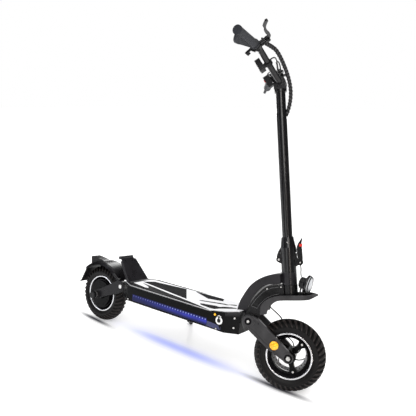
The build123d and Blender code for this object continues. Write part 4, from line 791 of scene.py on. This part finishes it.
def cables():
    """The wrapped loom, the two thin cables, the lamp lead and the front brake hose."""
    loom = [(-26.97, -163.26, 1075.27), (-14, -128, 1077), (9.7, -104, 1061), (38, -8, 982), (36, 0, 905),
            (16.5, 0, 860)]
    line = cord_line("wrapped_loom", loom, 6.2, COLUMN, "stem", "black_plastic", node="cable_loom")
    spiral_wrap("loom_binding", line, 0.0062, 0.0125, 0.0012, "stem", "wrap_black")
    left = [(-26.97, 163.26, 1075.27), (-19, 126, 1080), (-20, 62, 1092), (4, 10, 1056), (4, 4, 1017.6)]
    cord_line("left_cable", left, 2.4, COLUMN, "stem", "gloss_black")
    thin = [(-17.95, -99, 1040.45), (-6, -74, 1058), (-5, -14, 1054), (-4, -4, 1017.6)]
    cord_line("display_cable", thin, 2.4, COLUMN, "stem", "gloss_black")
    lead = [(27, -6, 352), (38, -8, 338), (44, -6, 312), (41, -5, 288), (43, -5, 279)]
    cord_line("lamp_lead", lead, 2.0, COLUMN, "steering", "gloss_black")
    hose = [(-96, 14, 196), (-84, 14, 176), (-58, 22, 150), (-38, 33, 126), (-31, 37, 100), (-33, 36, 74)]
    blended_hose("brake_hose", hose, 2.4, COLUMN, "gloss_black")


# ------------------------------------------------------------------ deck
def led_strips():
    """Both light strips, with their own x and z kept as UV for the glow."""
    x0, x1, z0, z1 = -213.5, 172.5, 170.0, 197.0
    inner, outer = 97.6, 100.6
    section = [(inner, z0), (outer - 0.5, z0), (outer, z0 + 0.6), (outer, z1 - 0.6), (outer - 0.5, z1),
               (inner, z1)]
    parts = []
    for s in (-1, 1):
        n = len(section)
        verts = [(x, s * y, z) for x in (x0, x1) for y, z in section]
        faces = [tuple(range(n)), tuple(range(n, 2 * n))[::-1]]
        faces += [(i, n + i, n + (i + 1) % n, (i + 1) % n) for i in range(n)]
        parts.append((verts, [f if s < 0 else f[::-1] for f in faces]))
    verts, faces = joined(parts)
    me = mesh_of("light_strips", verts, faces, DECK)
    uv = me.uv_layers.new(name="UVMap")
    for loop in me.loops:
        x, _, z = verts[loop.vertex_index]
        uv.data[loop.index].uv = (x, z)
    obj = put("light_strips", me, "deck", ["led_blue"], smooth=False)
    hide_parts("led_strips")
    outline = [(174, 168.8), (174, 188.5), (206, 186.5), (238, 181), (238, 170), (230, 168.8)]
    n = len(outline)
    faces = [tuple(range(n)), tuple(range(n, 2 * n))]
    faces += [(i, (i + 1) % n, n + (i + 1) % n, n + i) for i in range(n)]
    for s, name in ((-1, "strip_end_right"), (1, "strip_end_left")):
        verts = [(x, s * y, z) for y in (100.02, 100.7) for x, z in outline]
        put(name, mesh_of(name, verts, faces, DECK), "deck", ["end_plate"], smooth=False)


def port_bezel():
    """White ring round the charge port with a strap over its top, and the two side marker lamps."""
    x, y, z = 228.0, -100.9, 203.0
    profile = [(9.6, 0.0), (9.6, -1.1), (10.2, -1.7), (13.6, -1.7), (14.6, -1.0), (14.6, 0.9), (9.6, 0.9)]
    strap = bead([(x - 6 + 12 * k / 8, y - 0.9, z + 15.4 + 3.4 * sin(pi * k / 8)) for k in range(9)], 1.3)
    add_part("port_bezel", [shift(lathe(profile, 48), x, y, z), strap], DECK, "deck",
             "white_plastic", 50)
    lamp = [(0, 4.4), (3, 4.2), (4.6, 3.2), (5.2, 1.6), (5.2, -0.8), (0, -0.8)]
    lamps = [shift(lathe([(r, a * side) for r, a in lamp], 32), 208, 100 * side, 221) for side in (-1, 1)]
    add_part("side_markers", lamps, DECK, "deck", "amber", 50, node="side_lamps")


DECK_TOP = 229.0               # height of the printed mat
RAMP_FOOT, RAMP_HEAD = 181, 196    # the ramp over the joint lies between these


def mat_top(x):
    """Height of the printed surface: flat deck, short ramp over the joint, sloping casting."""
    if x < RAMP_FOOT:
        return DECK_TOP
    if x < RAMP_HEAD:
        return DECK_TOP + (x - RAMP_FOOT) * 0.26
    return DECK_TOP + 3.9 + (x - RAMP_HEAD) * 0.156


def decal(name, edge_a, edge_b, mat, lift=0.4, steps=30):
    """Thin print between two lines of (x, y) points, laid on the deck surface."""
    def at(line, t):
        k = min(int(t * (len(line) - 1)), len(line) - 2)
        f = t * (len(line) - 1) - k
        return tuple(p + (q - p) * f for p, q in zip(line[k], line[k + 1]))
    verts, faces = [], []
    for k in range(steps + 1):
        for line, down in ((edge_a, 0.5), (edge_a, -lift), (edge_b, -lift), (edge_b, 0.5)):
            x, y = at(line, k / steps)
            verts.append((x, y, mat_top(x) - down))
        if k:
            faces += [(4 * k - 4 + i, 4 * k - 4 + (i + 1) % 4, 4 * k + (i + 1) % 4, 4 * k + i) for i in range(4)]
    faces += [(3, 2, 1, 0), tuple(range(4 * steps, 4 * steps + 4))]
    put(name, mesh_of(name, verts, faces, DECK), "deck", [mat], smooth=False)


def deck_print():
    """Dark borders, stripes running on over the sloping casting, and the ramp over the joint."""
    near = [(-241, -15), (-150, -31), (-60, -49), (0, -58), (30, -64), (60, -69), (100, -77), (150, -89),
            (176, -94.2), (150, -95.8), (-240, -90.8), (-299.5, -57.6), (-299.5, -45), (-250, -52), (-180, -64),
            (-166, -59), (-178, -44)]
    far = [(-297, 50), (-240, 78), (-60, 83), (10, 89), (34, 94), (34, 95.6), (-240, 90.8), (-299.5, 57.6)]
    verts, faces = joined([prism(outline, DECK_TOP - 0.2, DECK_TOP + 0.35) for outline in (near, far)])
    border = mesh_of("deck_border", verts, faces, DECK)
    put("deck_border", border, "deck", ["border_black"], smooth=False)
    ramp = swept_plate([(180.5, 227.6), (180.5, 229.0), (196.5, 232.95), (196.5, 230.6)], -92.8, 92.8, 0.1)
    add_part("joint_ramp", [ramp], DECK, "deck", "deck_print", 20)
    decal("long_stripe", [(167, 16.5), (195, 20), (225, 19)], [(167, 26.5), (190, 33), (220, 34)], "deck_panel")
    decal("wedge_stripe", [(116, -66), (162, -72), (186, -66), (206, -52), (230, -42), (254, -29)],
          [(106, -54), (150, -41), (184, -29), (206, -24), (230, -21), (254, -26)], "deck_panel", 1.7)


# ------------------------------------------------------------------ CAD nodes: materials
def nose_to_neck():
    """Neck paint that turns near black on the block under the neck, like the deck beside it."""
    m = finish("nose_neck", NECK_TONE, 0.3, spec=0.35, coat=0.05, edge_wear_and_highlight=NECK_EDGE_WEAR_AND_HIGHLIGHT)
    nt = m.node_tree
    bsdf = nt.nodes["Principled BSDF"]
    tone = bsdf.inputs["Base Color"].links[0].from_socket
    sep = nt.nodes.new("ShaderNodeSeparateXYZ")
    nt.links.new(nt.nodes.new("ShaderNodeTexCoord").outputs["Object"], sep.inputs[0])
    upper = ranged(nt, sep.outputs[2], 0.236, 0.25, 0.0, 1.0)
    nt.links.new(mixed(nt, upper, DECK_TONE, tone), bsdf.inputs["Base Color"])
    nt.links.new(ranged(nt, upper, 0, 1, 0.1, 0.35), bsdf.inputs["Specular IOR Level"])
    return m


MAT["nose_neck"] = nose_to_neck()
OWN_FINISH = {
    "deck_frame": "deck_black", "deck_lid": "deck_black", "grip_pads": "deck_panel",
    "front_casting": "deck_black", "front_neck": "nose_neck", "kick_plate": "neck_black", "fork": "fork_black",
    "front_mudguard": "arm_black", "front_arm": "arm_black", "rear_arm": "rear_black",
    "rear_mudguard": "rear_black", "motor_shell": "deck_black",
}
for name, obj in NODES.items():
    slot = obj.material_slots[0].material.name.split(".")[0]
    obj.data.materials.clear()
    obj.data.materials.append(MAT[OWN_FINISH.get(name, slot)])


# ------------------------------------------------------------------ the scene's own pieces
MAT["tread_rubber"] = tyre_rubber()
MAT["amber_glass"] = amber_glass()
tyre("front_tread_tyre", "front_tyre", AXF, FRONT, "front_wheel")
tyre("rear_tread_tyre", "rear_tyre", AXR, DECK, "rear_wheel")
rim("front_rim_ring", "front_rim", AXF, FRONT, "front_wheel")
rim("rear_rim_ring", "rear_rim", AXR, DECK, "rear_wheel")
front_hub()
front_axle()
pins()
fork_trim()
neck_underside_shade_sheet()
reflectors()
head_lamp()
cables()
brake_disc("front_rotor", "front_disc", AXF, 30.2, 33.0, 68, 55, FRONT, "front_wheel")
brake_disc("rear_rotor", "rear_disc", AXR, 39.2, 42.0, 66, 52, DECK, "rear_wheel")
led_strips()
deck_print()
port_bezel()


# ------------------------------------------------------------------ floor, light, camera
# soft patches on the floor: centre x, y, half length, half width, slope, in metres
GLOW = (-0.01, -0.184, 0.29, 0.032, -0.042)
SHADOWS = [(0.46, -0.196, 0.125, 0.0145, -0.03), (-0.5, -0.204, 0.11, 0.0135, -0.1)]
FLOOR_LIFT = 0.34              # keeps the far floor as white as the background


def patch(nt, sep, centre_x, centre_y, long, wide, slope):
    """A soft elliptical patch, 1 at its centre."""
    x = math_node(nt, "SUBTRACT", sep.outputs[0], centre_x)
    y = math_node(nt, "SUBTRACT", sep.outputs[1], centre_y)
    y = math_node(nt, "SUBTRACT", y, math_node(nt, "MULTIPLY", x, slope))
    u, v = math_node(nt, "DIVIDE", x, long), math_node(nt, "DIVIDE", y, wide)
    r2 = math_node(nt, "ADD", math_node(nt, "POWER", math_node(nt, "ABSOLUTE", u), 2.6),
                   math_node(nt, "MULTIPLY", v, v))
    return math_node(nt, "EXPONENT", math_node(nt, "MULTIPLY", r2, -1.0))


def floor_material():
    """Pale floor with the blue spill under the deck and a dark contact shadow at each wheel."""
    m, nt, bsdf = new_material("floor")
    coord = nt.nodes.new("ShaderNodeTexCoord").outputs["Object"]
    sep = nt.nodes.new("ShaderNodeSeparateXYZ")
    nt.links.new(coord, sep.inputs[0])
    tint = mixed(nt, patch(nt, sep, *GLOW), (0.93, 0.93, 0.93), (0.47, 0.52, 0.95))
    for place in SHADOWS:
        tint = mixed(nt, patch(nt, sep, *place), tint, (0.03, 0.03, 0.04))
    nt.links.new(tint, bsdf.inputs["Base Color"])
    set_in(bsdf, Roughness=0.9)
    bsdf.inputs["Specular IOR Level"].default_value = 0.0
    seen = nt.nodes.new("ShaderNodeLightPath").outputs["Is Camera Ray"]
    nt.links.new(tint, bsdf.inputs["Emission Color"])
    nt.links.new(math_node(nt, "MULTIPLY", seen, FLOOR_LIFT), bsdf.inputs["Emission Strength"])
    return m


def stage_set():
    """The floor, and a white surround that is dimmer where it lights or mirrors in the scooter."""
    me = bpy.data.meshes.new("floor")
    s = 60.0
    me.from_pydata([(-s, -s, 0), (s, -s, 0), (s, s, 0), (-s, s, 0)], [], [(0, 1, 2, 3)])
    floor = bpy.data.objects.new("floor", me)
    bpy.context.scene.collection.objects.link(floor)
    me.materials.append(floor_material())

    world = bpy.data.worlds.new("studio")
    bpy.context.scene.world = world
    world.use_nodes = True
    nt = world.node_tree
    bg = nt.nodes["Background"]
    path = nt.nodes.new("ShaderNodeLightPath")
    seen = math_node(nt, "MAXIMUM", path.outputs["Is Camera Ray"], path.outputs["Is Transmission Ray"])
    lit = math_node(nt, "SUBTRACT", ranged(nt, seen, 0, 1, 0.62, 1.0),
                    math_node(nt, "MULTIPLY", path.outputs["Is Glossy Ray"], 0.52))
    nt.links.new(lit, bg.inputs["Strength"])
    bg.inputs["Color"].default_value = (1, 1, 1, 1)


def area_light(name, place, target, size, power, color=(1, 1, 1)):
    """Rectangular light of size metres at place, turned to its target."""
    data = bpy.data.lights.new(name, "AREA")
    data.shape = "RECTANGLE"
    data.size, data.size_y = size
    data.energy = power
    data.color = color
    lamp = bpy.data.objects.new(name, data)
    lamp.location = place
    lamp.rotation_euler = (Vector(target) - Vector(place)).to_track_quat("-Z", "Y").to_euler()
    bpy.context.scene.collection.objects.link(lamp)


def sun(name, direction, strength, angle):
    """Far light whose disc spans angle degrees."""
    data = bpy.data.lights.new(name, "SUN")
    data.energy = strength
    data.angle = radians(angle)
    lamp = bpy.data.objects.new(name, data)
    lamp.rotation_euler = Vector(direction).to_track_quat("-Z", "Y").to_euler()
    bpy.context.scene.collection.objects.link(lamp)


def lights():
    sun("sky_panel", (0.1, 0.15, -1), 1.25, 80)
    area_light("key", (1.6, -2.2, 2.4), (0.1, -0.1, 0.5), (1.2, 1.6), 22)
    area_light("back_strip", (-1.6, 1.8, 1.8), (0, -0.1, 0.6), (0.6, 2.2), 26)
    area_light("right_strip", (1.75, -1.4, 0.9), (0.3, -0.1, 0.6), (0.1, 2.4), 9, (1, 0.9, 0.82))
    area_light("left_strip", (-1.5, -1.5, 0.9), (0.3, -0.1, 0.6), (0.2, 2.4), 4, (0.86, 0.9, 1))
    area_light("side_panel", (0.45, -2.5, 0.9), (0.4, -0.1, 0.3), (0.9, 0.7), 3.5)


CAM_POS = Vector((1.1519, -1.5955, 1.0065))
CAM_AZ, CAM_EL, CAM_ROLL = radians(35.62), radians(12.54), radians(0.24)
CAM_LENS = 41.32


def camera():
    """Camera on the scooter's right, in front and a little above."""
    cam = bpy.data.objects.new("camera", bpy.data.cameras.new("camera"))
    bpy.context.scene.collection.objects.link(cam)
    back = Vector((sin(CAM_AZ) * cos(CAM_EL), -cos(CAM_AZ) * cos(CAM_EL), sin(CAM_EL)))
    cam.rotation_mode = "QUATERNION"
    cam.rotation_quaternion = (-back).to_track_quat("-Z", "Y") @ Matrix.Rotation(CAM_ROLL, 3, "Z").to_quaternion()
    cam.location = CAM_POS
    cam.data.lens = CAM_LENS
    cam.data.sensor_width = 36.0
    bpy.context.scene.camera = cam


stage_set()
lights()
camera()
bpy.context.scene.view_settings.view_transform = "Standard"
